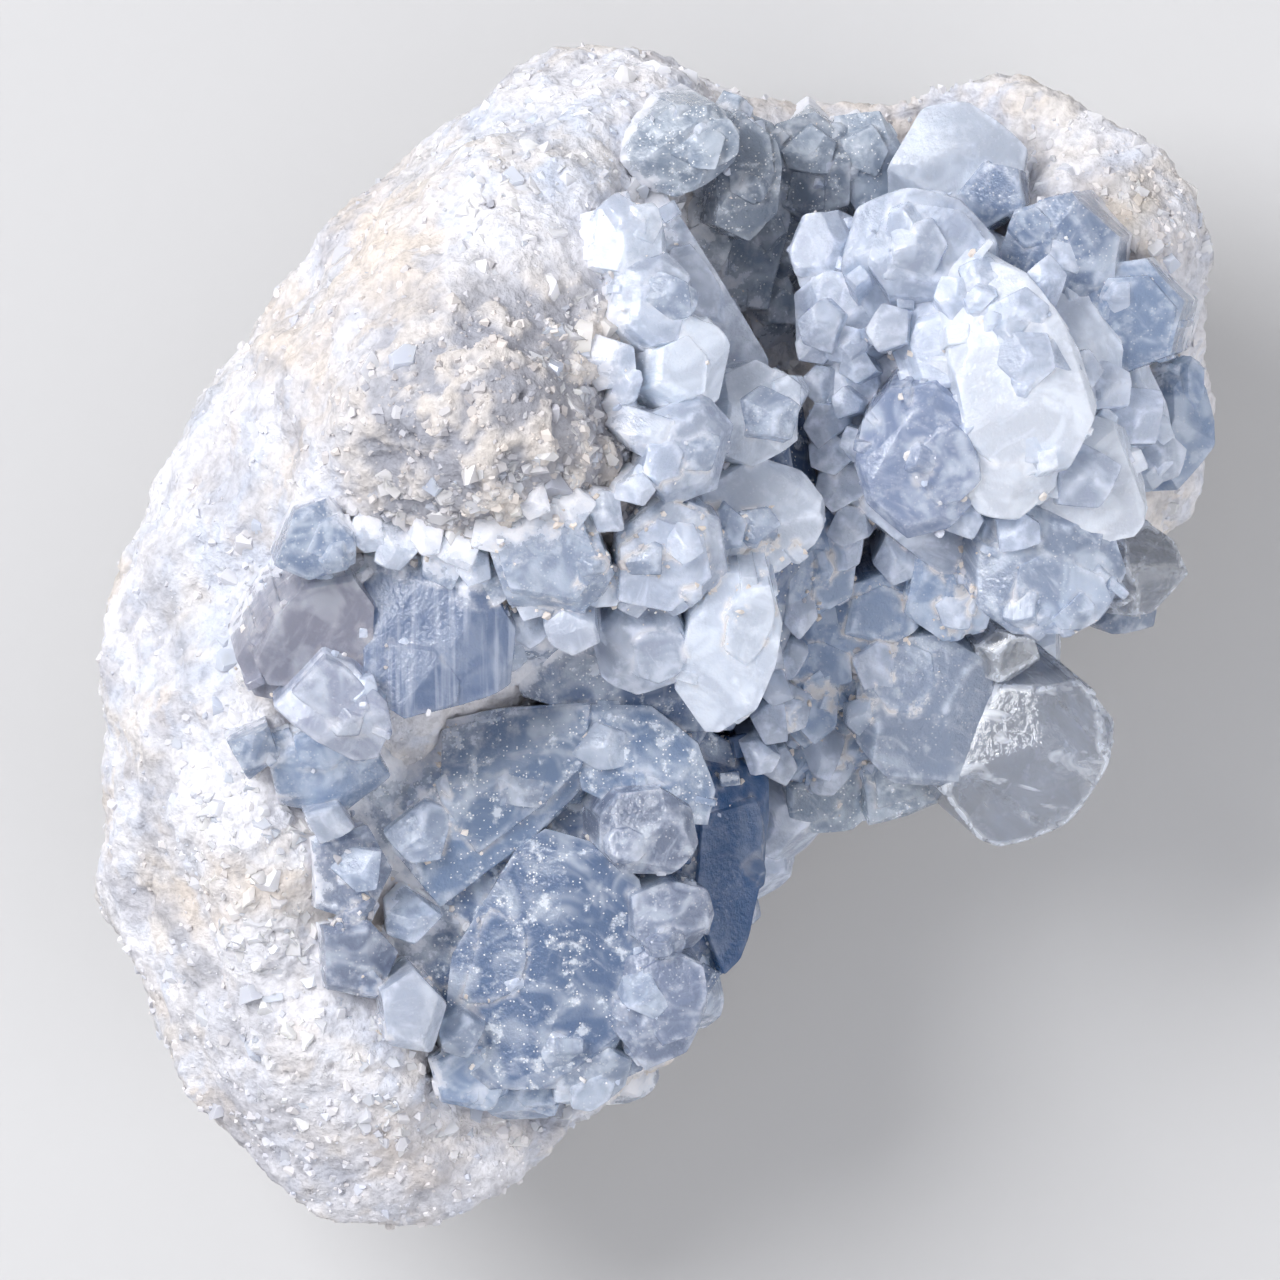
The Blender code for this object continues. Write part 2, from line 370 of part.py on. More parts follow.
def stone_mesh():
    """The geode wall: rings from the middle of the base out to the widest line and back in over the top."""
    radii = stone_radii()
    mesh = bmesh.new()
    layers = []
    for upper in (False, True):
        rings = []
        for ring in range(1, RINGS + 1):
            if upper and ring == RINGS:
                break
            share = math.sin(math.radians(90 * ring / RINGS))
            row = []
            for spoke in range(SPOKES):
                angle = 360 * spoke / SPOKES
                arm = direction(angle, 90) * around(radii, angle) * share
                edge = around(EDGE_HEIGHTS, angle)
                if upper:
                    rise = math.sqrt(1 - share**RIM_ROUNDING)
                    z = edge + (surface_height(CENTRE.x + arm.x, CENTRE.y + arm.y) - edge) * rise
                else:
                    z = max(0.0, edge - (edge + FLAT_CUT) * math.sqrt(1 - share**2))
                row.append(mesh.verts.new((CENTRE.x + arm.x, CENTRE.y + arm.y, z)))
            rings.append(row)
        layers.append(rings)
    bottom, top = layers
    bottom_middle = mesh.verts.new((CENTRE.x, CENTRE.y, 0.0))
    top_middle = mesh.verts.new((CENTRE.x, CENTRE.y, surface_height(CENTRE.x, CENTRE.y)))
    shell = bottom + top[::-1]
    for low, high in zip(shell, shell[1:]):
        for spoke in range(SPOKES):
            beside = (spoke + 1) % SPOKES
            mesh.faces.new((low[spoke], low[beside], high[beside], high[spoke]))
    for spoke in range(SPOKES):
        beside = (spoke + 1) % SPOKES
        mesh.faces.new((bottom_middle, bottom[0][beside], bottom[0][spoke]))
        mesh.faces.new((top_middle, top[0][spoke], top[0][beside]))
    bmesh.ops.recalc_face_normals(mesh, faces=mesh.faces)
    mesh.normal_update()
    for vert in [vert for vert in mesh.verts if vert.co.z > 0.0]:
        vert.co += vert.normal * stone_relief(vert.co)
        vert.co.z = max(0.0, vert.co.z)
    return mesh


def grown(mesh, distance):
    """Moves each vertex outwards along its normal."""
    mesh.normal_update()
    moves = [vert.normal * distance for vert in mesh.verts]
    for vert, move in zip(mesh.verts, moves):
        vert.co += move
    return mesh


def cut_block(planes, middle):
    """The convex block inside all of the planes, each a (point, outward normal)."""
    mesh = bmesh.new()
    bmesh.ops.create_cube(mesh, size=BLOCK_SIZE)
    bmesh.ops.translate(mesh, verts=mesh.verts, vec=middle)
    for point, normal in planes:
        bmesh.ops.bisect_plane(
            mesh,
            geom=mesh.verts[:] + mesh.edges[:] + mesh.faces[:],
            dist=1e-4,
            plane_co=point,
            plane_no=normal,
            clear_outer=True,
        )
        rim = [edge for edge in mesh.edges if edge.is_boundary]
        if rim:
            bmesh.ops.contextual_create(mesh, geom=rim)
    bmesh.ops.remove_doubles(mesh, verts=mesh.verts, dist=0.01)
    bmesh.ops.recalc_face_normals(mesh, faces=mesh.faces)
    return mesh


def outward_side(corner, following, growth, middle):
    """The outward normal of the side that runs along growth through two corners of a rim."""
    side = (following - corner).cross(growth).normalized()
    return side if side.dot(corner - middle) > 0 else -side


def crystal_block(rim, top, growth, faces, bevels, root, more=0.0):
    """A crystal with a side through each edge of its rim, planes on its head, and bevels between them.

    With more above zero every plane stands that much further out.
    """
    middle = sum(rim, Vector()) / len(rim)
    head = middle.copy()
    head.z = top
    head_normal = sum((direction(*face) for face in faces), Vector()).normalized()
    planes = [(head + direction(*face) * more, direction(*face)) for face in faces]
    for index, corner in enumerate(rim):
        following = rim[(index + 1) % len(rim)]
        side = outward_side(corner, following, growth, middle)
        planes.append((corner + side * more, side))
        if bevels[index] > 0:
            slope = (side + head_normal * BEVEL_SLOPE).normalized()
            brink = (corner + following) / 2
            brink += growth * ((head - brink).dot(head_normal) / growth.dot(head_normal))
            planes.append((brink - side * bevels[index] + slope * more, slope))
    planes.append((middle - growth * root, -growth))
    return cut_block(planes, middle)


def headed(crystal, more=0.0):
    """The block of one Crystal."""
    rim = [seen(x, y, crystal.top) for x, y in crystal.outline]
    dice = random.Random(len(rim) * 1000 + round(crystal.top * 10))
    bevels = [crystal.bevel * max(0.0, dice.uniform(-0.9, 1.5)) for _ in rim]
    growth = direction(*crystal.lean)
    return crystal_block(rim, crystal.top, growth, crystal.faces, bevels, crystal.root, more)


def pointed(point, more=0.0):
    """The block of one Point: a stubby prism of five uneven sides under a roof of three planes."""
    dice = random.Random(round(point.x * 10) * 7919 + round(point.y * 10))
    tip = seen(point.x, point.y, point.top - POINT_DEPTH)
    growth = direction(*point.lean)
    across = growth.orthogonal().normalized()
    beside = growth.cross(across)
    start = dice.uniform(0, math.tau)
    rim = []
    for step in range(POINT_SIDES):
        angle = start + math.tau * (step + dice.uniform(-0.25, 0.25)) / POINT_SIDES
        reach = point.radius * dice.uniform(0.9, 1.3)
        rim.append(tip + (across * math.cos(angle) + beside * math.sin(angle)) * reach)
    middle = sum(rim, Vector()) / len(rim)
    planes = [(middle - growth * point.root, -growth)]
    for index, corner in enumerate(rim):
        side = outward_side(corner, rim[(index + 1) % len(rim)], growth, middle)
        planes.append((corner + side * more, side))
    bearing = dice.uniform(0, 360)
    for turn in (0, dice.uniform(100, 140), dice.uniform(220, 260)):
        slope = direction(bearing + turn, dice.uniform(14, 38))
        planes.append((tip + slope * more, slope))
    return cut_block(planes, middle)


def flank_crystals(rows):
    """Crystals that point outwards from a broken flank, each as (place, azimuth, tilt, radius)."""
    dice = random.Random(41)
    radii = stone_radii()
    for azimuths, height, radius in rows:
        for azimuth in azimuths:
            bearing = azimuth + dice.uniform(-3, 3)
            reach = around(radii, bearing) - radius * dice.uniform(-0.2, 0.8)
            place = CENTRE + direction(bearing, 90) * reach
            place.z = height + dice.uniform(-2, 2)
            turn = dice.uniform(-14, 14)
            tilt = dice.uniform(50, 74)
            yield place, bearing + turn, tilt, radius * dice.uniform(0.8, 1.2)


def flank_block(place, azimuth, tilt, radius, more=0.0):
    """One crystal of the flank."""
    dice = random.Random(round(place.x * 100) + round(place.y * 10))
    growth = direction(azimuth, tilt)
    across = growth.orthogonal().normalized()
    beside = growth.cross(across)
    rim = []
    for step in range(FLANK_SIDES):
        angle = math.tau * (step + dice.uniform(-0.2, 0.2)) / FLANK_SIDES
        reach = radius * dice.uniform(0.8, 1.15)
        rim.append(place + (across * math.cos(angle) + beside * math.sin(angle)) * reach)
    planes = [(place - growth * FLANK_LENGTH, -growth)]
    for index, corner in enumerate(rim):
        following = rim[(index + 1) % len(rim)]
        side = outward_side(corner, following, growth, place)
        slope = (side + growth * dice.uniform(0.7, 1.3)).normalized()
        planes.append((corner + side * more, side))
        planes.append((place + slope * (radius * dice.uniform(0.62, 0.8) + more), slope))
    tip = (growth + across * dice.uniform(-0.25, 0.25)).normalized()
    planes.append((place + tip * (radius * dice.uniform(0.3, 0.6) + more), tip))
    return cut_block(planes, place)


def material(name, colour, roughness, transmission=0.0):
    """A Principled material."""
    made = bpy.data.materials.new(name)
    made.use_nodes = True
    shader = made.node_tree.nodes["Principled BSDF"]
    shader.inputs["Base Color"].default_value = colour
    shader.inputs["Roughness"].default_value = roughness
    shader.inputs["Transmission Weight"].default_value = transmission
    shader.inputs["IOR"].default_value = 1.62
    made.diffuse_color = colour
    return made


def new_object(name, mesh, collection):
    """An object in metres from a bmesh in millimetres."""
    bmesh.ops.scale(mesh, vec=(MM, MM, MM), verts=mesh.verts)
    data = bpy.data.meshes.new(name)
    mesh.to_mesh(data)
    mesh.free()
    made = bpy.data.objects.new(name, data)
    collection.objects.link(made)
    return made


def helpers(name, blocks):
    """A collection of blocks that only take part in Booleans."""
    collection = bpy.data.collections.new(name)
    bpy.context.scene.collection.children.link(collection)
    for index, block in enumerate(blocks):
        made = new_object(f"{name}.{index:02d}", block, collection)
        made.hide_render = True
        made.display_type = "WIRE"
    return collection


def boolean(target, operation, other):
    """A Boolean with one object or with all of a collection."""
    modifier = target.modifiers.new(operation.title(), "BOOLEAN")
    modifier.operation = operation
    modifier.solver = "EXACT"
    modifier.use_self = True
    if isinstance(other, bpy.types.Collection):
        modifier.operand_type = "COLLECTION"
        modifier.collection = other
    else:
        modifier.object = other


def main_body(target):
    """Applies the Booleans and keeps the largest body, because a cut can leave loose chips."""
    graph = bpy.context.evaluated_depsgraph_get()
    data = bpy.data.meshes.new_from_object(target.evaluated_get(graph))
    target.modifiers.clear()
    target.data = data
    mesh = bmesh.new()
    mesh.from_mesh(data)
    bodies = []
    left = set(mesh.verts)
    while left:
        body = []
        front = [left.pop()]
        while front:
            vert = front.pop()
            body.append(vert)
            for edge in vert.link_edges:
                other = edge.other_vert(vert)
                if other in left:
                    left.remove(other)
                    front.append(other)
        bodies.append(body)
    bodies.sort(key=len)
    for chip in bodies[:-1]:
        bmesh.ops.delete(mesh, geom=chip, context="VERTS")
    mesh.to_mesh(data)
    mesh.free()


def crystal_group(name, colour, crystals, points, flank, cutters):
    """One solid of crystals grown together. Returns the collection of its blocks made thicker by the gap."""
    blocks = [headed(crystal) for crystal in crystals[1:]]
    blocks += [pointed(point) for point in points]
    blocks += [flank_block(*crystal) for crystal in flank]
    group = new_object(name, headed(crystals[0]), bpy.context.scene.collection)
    group.data.materials.append(material(name, colour, 0.12, 0.6))
    boolean(group, "UNION", helpers(name + ".shapes", blocks))
    for cutter in cutters:
        boolean(group, "DIFFERENCE", cutter)
    main_body(group)
    thicker = [headed(crystal, GAP) for crystal in crystals] + [pointed(point, GAP) for point in points]
    thicker += [flank_block(*crystal, GAP) for crystal in flank]
    return helpers(name + ".thicker", thicker)


def build():
    for old in list(bpy.data.objects):
        bpy.data.objects.remove(old, do_unlink=True)
    scene = bpy.context.scene.collection
    rind = new_object("rind", stone_mesh(), scene)
    rind.data.materials.append(material("rind", STONE, 0.85))
    rind_cutter = new_object("rind.thicker", grown(stone_mesh(), STONE_GAP), scene)
    rind_cutter.hide_render = True
    rind_cutter.display_type = "WIRE"
    blue_flank = list(flank_crystals(BLUE_FLANK))
    pale_flank = list(flank_crystals(PALE_FLANK))
    blue = crystal_group("blue_crystals", BLUE, BLUE_CRYSTALS, BLUE_POINTS, blue_flank, [rind_cutter])
    pale = crystal_group("pale_crystals", PALE, PALE_CRYSTALS, PALE_POINTS, pale_flank, [rind_cutter, blue])
    crystal_group("hollow_crust", DARK, HOLLOW_CRYSTALS, HOLLOW_POINTS, [], [rind_cutter, blue, pale])


build()
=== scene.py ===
"""Looks of a broken piece of a celestite geode: white stone with grey-blue crystals on its inner side.

The part's own forms are built again here from the same tables, finer and with grain, growth steps and small
crystals. Lengths are millimetres until a mesh is made.
"""

import math
import random
from collections import namedtuple

import bmesh
import bpy
import numpy as np
from mathutils import Matrix, Quaternion, Vector, noise
from mathutils.bvhtree import BVHTree
from mathutils.kdtree import KDTree as Kd


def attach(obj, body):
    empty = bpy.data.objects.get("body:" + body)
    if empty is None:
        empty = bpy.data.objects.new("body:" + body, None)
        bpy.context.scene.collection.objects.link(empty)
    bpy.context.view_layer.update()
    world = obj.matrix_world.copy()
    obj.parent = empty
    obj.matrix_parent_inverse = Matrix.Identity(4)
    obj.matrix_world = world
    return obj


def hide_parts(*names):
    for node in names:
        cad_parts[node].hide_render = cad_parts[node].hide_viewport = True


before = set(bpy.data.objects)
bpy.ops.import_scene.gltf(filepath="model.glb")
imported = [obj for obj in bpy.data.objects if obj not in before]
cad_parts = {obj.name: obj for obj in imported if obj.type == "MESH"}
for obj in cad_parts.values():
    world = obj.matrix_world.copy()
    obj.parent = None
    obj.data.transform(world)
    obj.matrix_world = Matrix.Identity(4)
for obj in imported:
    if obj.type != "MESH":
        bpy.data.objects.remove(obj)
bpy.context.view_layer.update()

MM = 0.001

# The piece was measured from above, so a place is written as it is seen from the eye. The drawing is true to
# size at the height of SEEN_PLANE, and a higher point is drawn further from the axis of the eye.
EYE = Vector((-2.0, 0.0, 639.0))
SEEN_PLANE = 35.0

# The stone wall. CENTRE is the middle of the rings that its mesh is made of.
CENTRE = Vector((-5.0, 2.0, 0.0))
SPOKES = 56
RINGS = 13
FLAT_CUT = 2.3
RIM_ROUNDING = 8
LUMP_SIZE = 15.0
LUMP_HEIGHT = 2.8
FINER = 2.3
FINER_SHARE = 0.5
PIT_SIZE = 9.0
PIT_REACH = 0.4
PIT_DEPTH = 3.0

# Each crystal is cut from a cube of BLOCK_SIZE. BEVEL_SLOPE sets how flat the planes between head and
# sides lie.
BLOCK_SIZE = 200.0
BEVEL_SLOPE = 0.9
POINT_SIDES = 5
FLANK_SIDES = 6

# The widest line of the stone as seen from above, anticlockwise from the right
STONE_OUTLINE = [
    (45.5, 14), (47.3, 20), (46, 24), (47.6, 31), (46, 34), (44, 38), (40, 42.5), (36, 46),
    (33, 47.6),
    (28, 48), (24, 47.6), (20, 45.5), (15, 45.2), (10, 45.8), (8.5, 46.5), (5, 48.8), (0, 49.5), (-5, 49.7),
    (-10, 48.7), (-15, 46.6), (-20, 43.5), (-25, 38), (-30, 31.8), (-35, 26), (-37.5, 22.5), (-41, 16),
    (-44.5, 10), (-46, 5), (-47, 0), (-47.2, -5), (-48, -10), (-47.6, -15), (-47, -20), (-46.5, -25),
    (-44.5, -30), (-42, -35), (-40, -40), (-35.5, -45), (-33, -47.3), (-27, -49.4), (-20, -49.9),
    (-15, -48.3), (-12, -45.5), (-8.5, -41.5), (-3.5, -38), (1, -34), (4.5, -28), (7, -21.5), (10, -17.5),
    (15, -14.5), (21, -12), (27, -8), (32, -2), (37.5, 3.5), (42, 8),
]

# The height of the widest line, as (degrees around the centre, height)
EDGE_HEIGHTS = [
    (0, 20), (25, 27), (40, 33), (55, 30), (68, 22), (80, 22), (95, 26), (125, 28), (160, 30), (200, 31),
    (235, 33), (255, 33), (272, 30), (285, 22), (305, 17), (330, 16),
]

# The stone's upper surface, on a lattice of 10 mm: one row for each y, from x = -45 to x = 45
LATTICE_STEP = 10.0
LATTICE_START = -45.0
SURFACE_ROWS = {
    45: [28, 28, 34, 45, 49, 42, 24, 27, 38, 38],
    35: [28, 36, 53, 59, 56, 30, 20, 28, 45, 42],
    25: [30, 48, 61, 65, 60, 32, 22, 32, 40, 38],
    15: [36, 54, 65, 68, 66, 47, 28, 33, 34, 30],
    5: [40, 52, 53, 56, 50, 41, 25, 27, 27, 24],
    -5: [42, 52, 46, 43, 36, 28, 21, 20, 20, 20],
    -15: [42, 52, 42, 31, 27, 22, 17, 17, 17, 17],
    -25: [38, 50, 41, 30, 24, 19, 17, 17, 17, 17],
    -35: [34, 44, 42, 33, 25, 20, 17, 17, 17, 17],
    -45: [32, 36, 40, 38, 27, 20, 17, 17, 17, 17],
}
SURFACE_SOFTNESS = 6.0

# A crystal that shows its head. outline is where its rim is seen, in order; top is the height of its head;
# faces are the head's planes as (azimuth, tilt) of each normal; lean is the (azimuth, tilt) of its growth;
# bevel is the width of the small planes between head and sides; root is its length down into the stone.
Crystal = namedtuple("Crystal", "outline top faces lean bevel root", defaults=(((0, 0),), (0, 0), 1.2, 26))

# A small crystal that stands out of the others: where its tip is seen, its height, growth and radius. All of
# them are sunk by POINT_DEPTH.
POINT_DEPTH = 1.0
Point = namedtuple("Point", "x y top lean radius root", defaults=(14,))

BLUE_CRYSTALS = [
    # The broad mass at the bottom left, and the dusty face in its middle
    Crystal(
        [(-25, -9), (-14, -6), (-5, -5.2), (1, -6.4), (6, -9), (7, -18), (5, -28), (0, -36), (-8, -39.5),
         (-17, -37), (-24, -30), (-27, -18)],
        top=40.5, faces=((-60, 6),), bevel=1.6, root=22,
    ),
    Crystal(
        [(-19, -36), (-18, -27), (-12.5, -18), (-10, -16.2), (-5.5, -17.5), (-2, -20.5), (-1, -28), (-4, -35),
         (-9, -38.5), (-15, -38.5)],
        top=43.5, faces=((200, 13), (-60, 9)), bevel=1.0, root=22,
    ),
    Crystal([(-23, -8), (-14, -6), (-6, -5.5), (-7, -13), (-11, -17), (-19, -23), (-24, -17)],
            top=44.5, faces=((-100, 12), (150, 16)), bevel=1.0),
    Crystal([(-8, -5.6), (-1, -5.8), (3, -9), (4.5, -13), (3.8, -16), (-1, -15.5), (-7, -13)],
            top=46, faces=((60, 14), (-110, 18)), bevel=1.0),
    # The deep blue face that looks to the right
    Crystal([(1, -11), (4, -9.3), (8.5, -8.4), (9.9, -12), (10, -15), (9, -20.5), (7.5, -26), (6.5, -28.8),
             (4, -30.3), (0, -22)],
            top=38.5, faces=((0, 34),), lean=(-15, 14), bevel=0.7, root=20),
    # Rounded heads along the mass's lower right side
    Crystal([(-5, -15.5), (-3.5, -13.5), (0, -13), (3, -15), (3.6, -18), (1.2, -20.6), (-3, -20.5),
             (-4.9, -18.5)], top=48, faces=((-45, 18), (120, 12)), lean=(-40, 20), bevel=1.5),
    Crystal([(-2.6, -22), (0.5, -20.6), (4, -21.5), (5.1, -24), (3.6, -27), (0, -27.7), (-2.4, -25.5)],
            top=45, faces=((-20, 20),), lean=(-30, 20), bevel=1.4),
    Crystal([(-3.2, -28), (0, -26.3), (3.6, -28), (4.1, -32), (2.6, -36), (-1, -37.5), (-3.7, -34)],
            top=44.5, faces=((-60, 14), (100, 8)), lean=(-50, 22), bevel=1.5),
    Crystal([(-9.3, -36), (-5, -34.3), (-2.4, -36.5), (-2.9, -39), (-6, -41), (-9, -40)],
            top=41, faces=((-60, 26),), lean=(-70, 25), bevel=1.2),
    Crystal([(-15.5, -37), (-11, -35.5), (-8.5, -38.5), (-9.7, -42), (-13.5, -42.3), (-16, -39.5)],
            top=39, faces=((-90, 22),), lean=(-90, 20), bevel=1.2),
    Crystal([(-20, -36), (-16, -34), (-13, -37), (-14.5, -40.5), (-19, -40)],
            top=41, faces=((-100, 16),), lean=(-90, 12), bevel=0.9),
    Crystal([(-24, -30), (-21, -28.3), (-18, -31.5), (-19.3, -35.7), (-23.3, -34.7)],
            top=47.5, faces=((-20, 14),), lean=(-40, 12), bevel=0.8),
    # The smaller ones between the mass and the stone at the left
    Crystal([(-30, -17), (-25, -16), (-22.5, -20), (-25, -24.5), (-29.5, -23)],
            top=46.5, faces=((-30, 16),), lean=(-20, 14), bevel=1.0, root=18),
    Crystal([(-29, -24.5), (-25, -24), (-22, -27), (-24, -31), (-28.5, -30)],
            top=46.5, faces=((-50, 18),), lean=(-20, 14), bevel=1.0, root=18),
    Crystal([(-34, -8.5), (-29, -7), (-25, -8.5), (-22.8, -12.5), (-27, -15.8), (-32.5, -14.8)],
            top=49.5, faces=((-80, 20),), lean=(-60, 12), bevel=1.3, root=20),
    Crystal([(-30.5, -15), (-27.5, -14.3), (-26, -16.5), (-29, -18)],
            top=50, faces=((-60, 14),), lean=(-60, 14), bevel=0.7, root=16),
    Crystal([(-37, -9), (-33.5, -7.5), (-32.5, -10.5), (-35, -12.5)],
            top=52, faces=((-60, 18),), lean=(-60, 14), bevel=0.7, root=14),
    # The wide pair under the plateau, the white face that lies on it and the dark one above
    Crystal([(-36, -3.2), (-33.8, 1.5), (-30.6, 5), (-25.5, 6.3), (-23, 2.5), (-23.3, -5.2), (-29, -6.6),
             (-34.3, -6.6)], top=55, faces=((-80, 12),), lean=(-70, 26), bevel=1.1),
    Crystal([(-25.3, 5.7), (-17, 6.3), (-14, 2.7), (-12.4, 0), (-12.8, -4.9), (-17, -6.3), (-22, -7.3),
             (-25.4, -5.2)], top=56, faces=((-60, 12), (170, 8)), lean=(-80, 26), bevel=1.2),
    Crystal([(-33.2, -6.3), (-28.8, -1.4), (-26.2, -2.6), (-23.5, -5.4), (-23, -8), (-24.2, -11.2),
             (-26.2, -11.4)], top=57, faces=((-110, 10),), lean=(-80, 18), bevel=0.7),
    Crystal([(-33, 6), (-31.3, 10.7), (-28.4, 11.8), (-26, 9), (-26, 6), (-30, 4.7)],
            top=59, faces=((-50, 14),), lean=(-60, 10), bevel=1.0),
    # The body behind the heads in the middle, and its arm along the hollow's left edge
    Crystal([(-16, 6), (-8, 10), (3, 22), (12, 20), (14, 9), (10.5, -1), (6, -8), (-2, -8), (-12, -5)],
            top=45, faces=((-45, 14),), bevel=2, root=26),
    Crystal([(-8, 30), (-6, 37), (0, 38.5), (4, 32), (9, 24), (9, 16), (-2, 18)],
            top=49, faces=((10, 18),), bevel=2, root=24),
    Crystal([(-28, 5), (-22, 8), (-12, 9), (-6, 2), (-12, -4), (-24, -6)],
            top=49, faces=((-80, 12),), bevel=2, root=20),
    Crystal([(-36, -6), (-30, 2), (-22, -2), (-20, -12), (-22, -30), (-27, -30), (-32, -20)],
            top=43.5, faces=((-30, 14),), bevel=2, root=18),
    # Heads that hang over the mass in the middle
    Crystal([(-10.2, 0.9), (-8.6, 2.3), (-5.8, 1.2), (-5.3, -0.6), (-7.6, -2), (-9.6, -0.9)],
            top=56, faces=((-90, 22),), lean=(-90, 30), bevel=0.6, root=14),
    Crystal([(-6.2, 0), (-4, 2.2), (1, 2.5), (2.4, -1), (1.2, -4.7), (-2, -6.2), (-5.2, -4.7)],
            top=52, faces=((-80, 16),), lean=(-85, 26), bevel=1.4),
    Crystal([(2.2, 1.5), (4.8, 5.6), (9, 5.4), (10.2, 1), (9.6, -3), (8, -7.1), (5.2, -9.8), (4, -10.1),
             (1.3, -6)], top=53, faces=((-60, 16), (-130, 20)), lean=(-80, 28), bevel=1.3),
    Crystal([(-15, 8), (-12, 11), (-6, 10), (-4, 5), (-7, 1), (-13, 2)],
            top=58.5, faces=((-80, 18),), lean=(-80, 14), bevel=1.5, root=18),
    Crystal([(-4, 9), (0, 12), (5, 10), (6, 5), (2, 1.5), (-4, 3)],
            top=55.5, faces=((-50, 16),), lean=(-60, 16), bevel=1.5, root=18),
    # The blocky blue-grey one to the right of the plateau, and those along the hollow's left edge
    Crystal([(3.2, 12.5), (9, 15.2), (13.5, 13.8), (15.2, 11), (14.3, 7.5), (11.2, 5.2), (6, 5), (2.8, 8)],
            top=50, faces=((-20, 12), (60, 20)), lean=(-15, 32), bevel=1.4),
    Crystal([(4.6, 16), (5.4, 22.3), (9, 23.8), (12.8, 21.6), (12.8, 17), (9, 14.7)],
            top=51, faces=((20, 16),), lean=(5, 34), bevel=1.6),
    Crystal([(-2, 14), (-1, 19), (4, 21), (7, 18), (5.5, 12.5), (1, 11)],
            top=57.5, faces=((-10, 20),), lean=(-10, 16), bevel=1.6, root=18),
    Crystal([(-1.5, 21), (-1, 26.2), (3.6, 28), (6.7, 25.4), (6.2, 20.5), (2, 19)],
            top=56.5, faces=((10, 20),), lean=(10, 32), bevel=1.4, root=18),
    Crystal([(-4.5, 27), (-3.5, 31.6), (1.5, 33), (4.4, 29.5), (3, 25.5), (-1, 24.5)],
            top=57, faces=((15, 20),), lean=(10, 32), bevel=1.3, root=18),
    Crystal([(-6, 31.5), (-5, 36.5), (0, 37.2), (1.6, 33.5), (-0.8, 30)],
            top=56.5, faces=((10, 24),), lean=(10, 32), bevel=1.2, root=16),
]

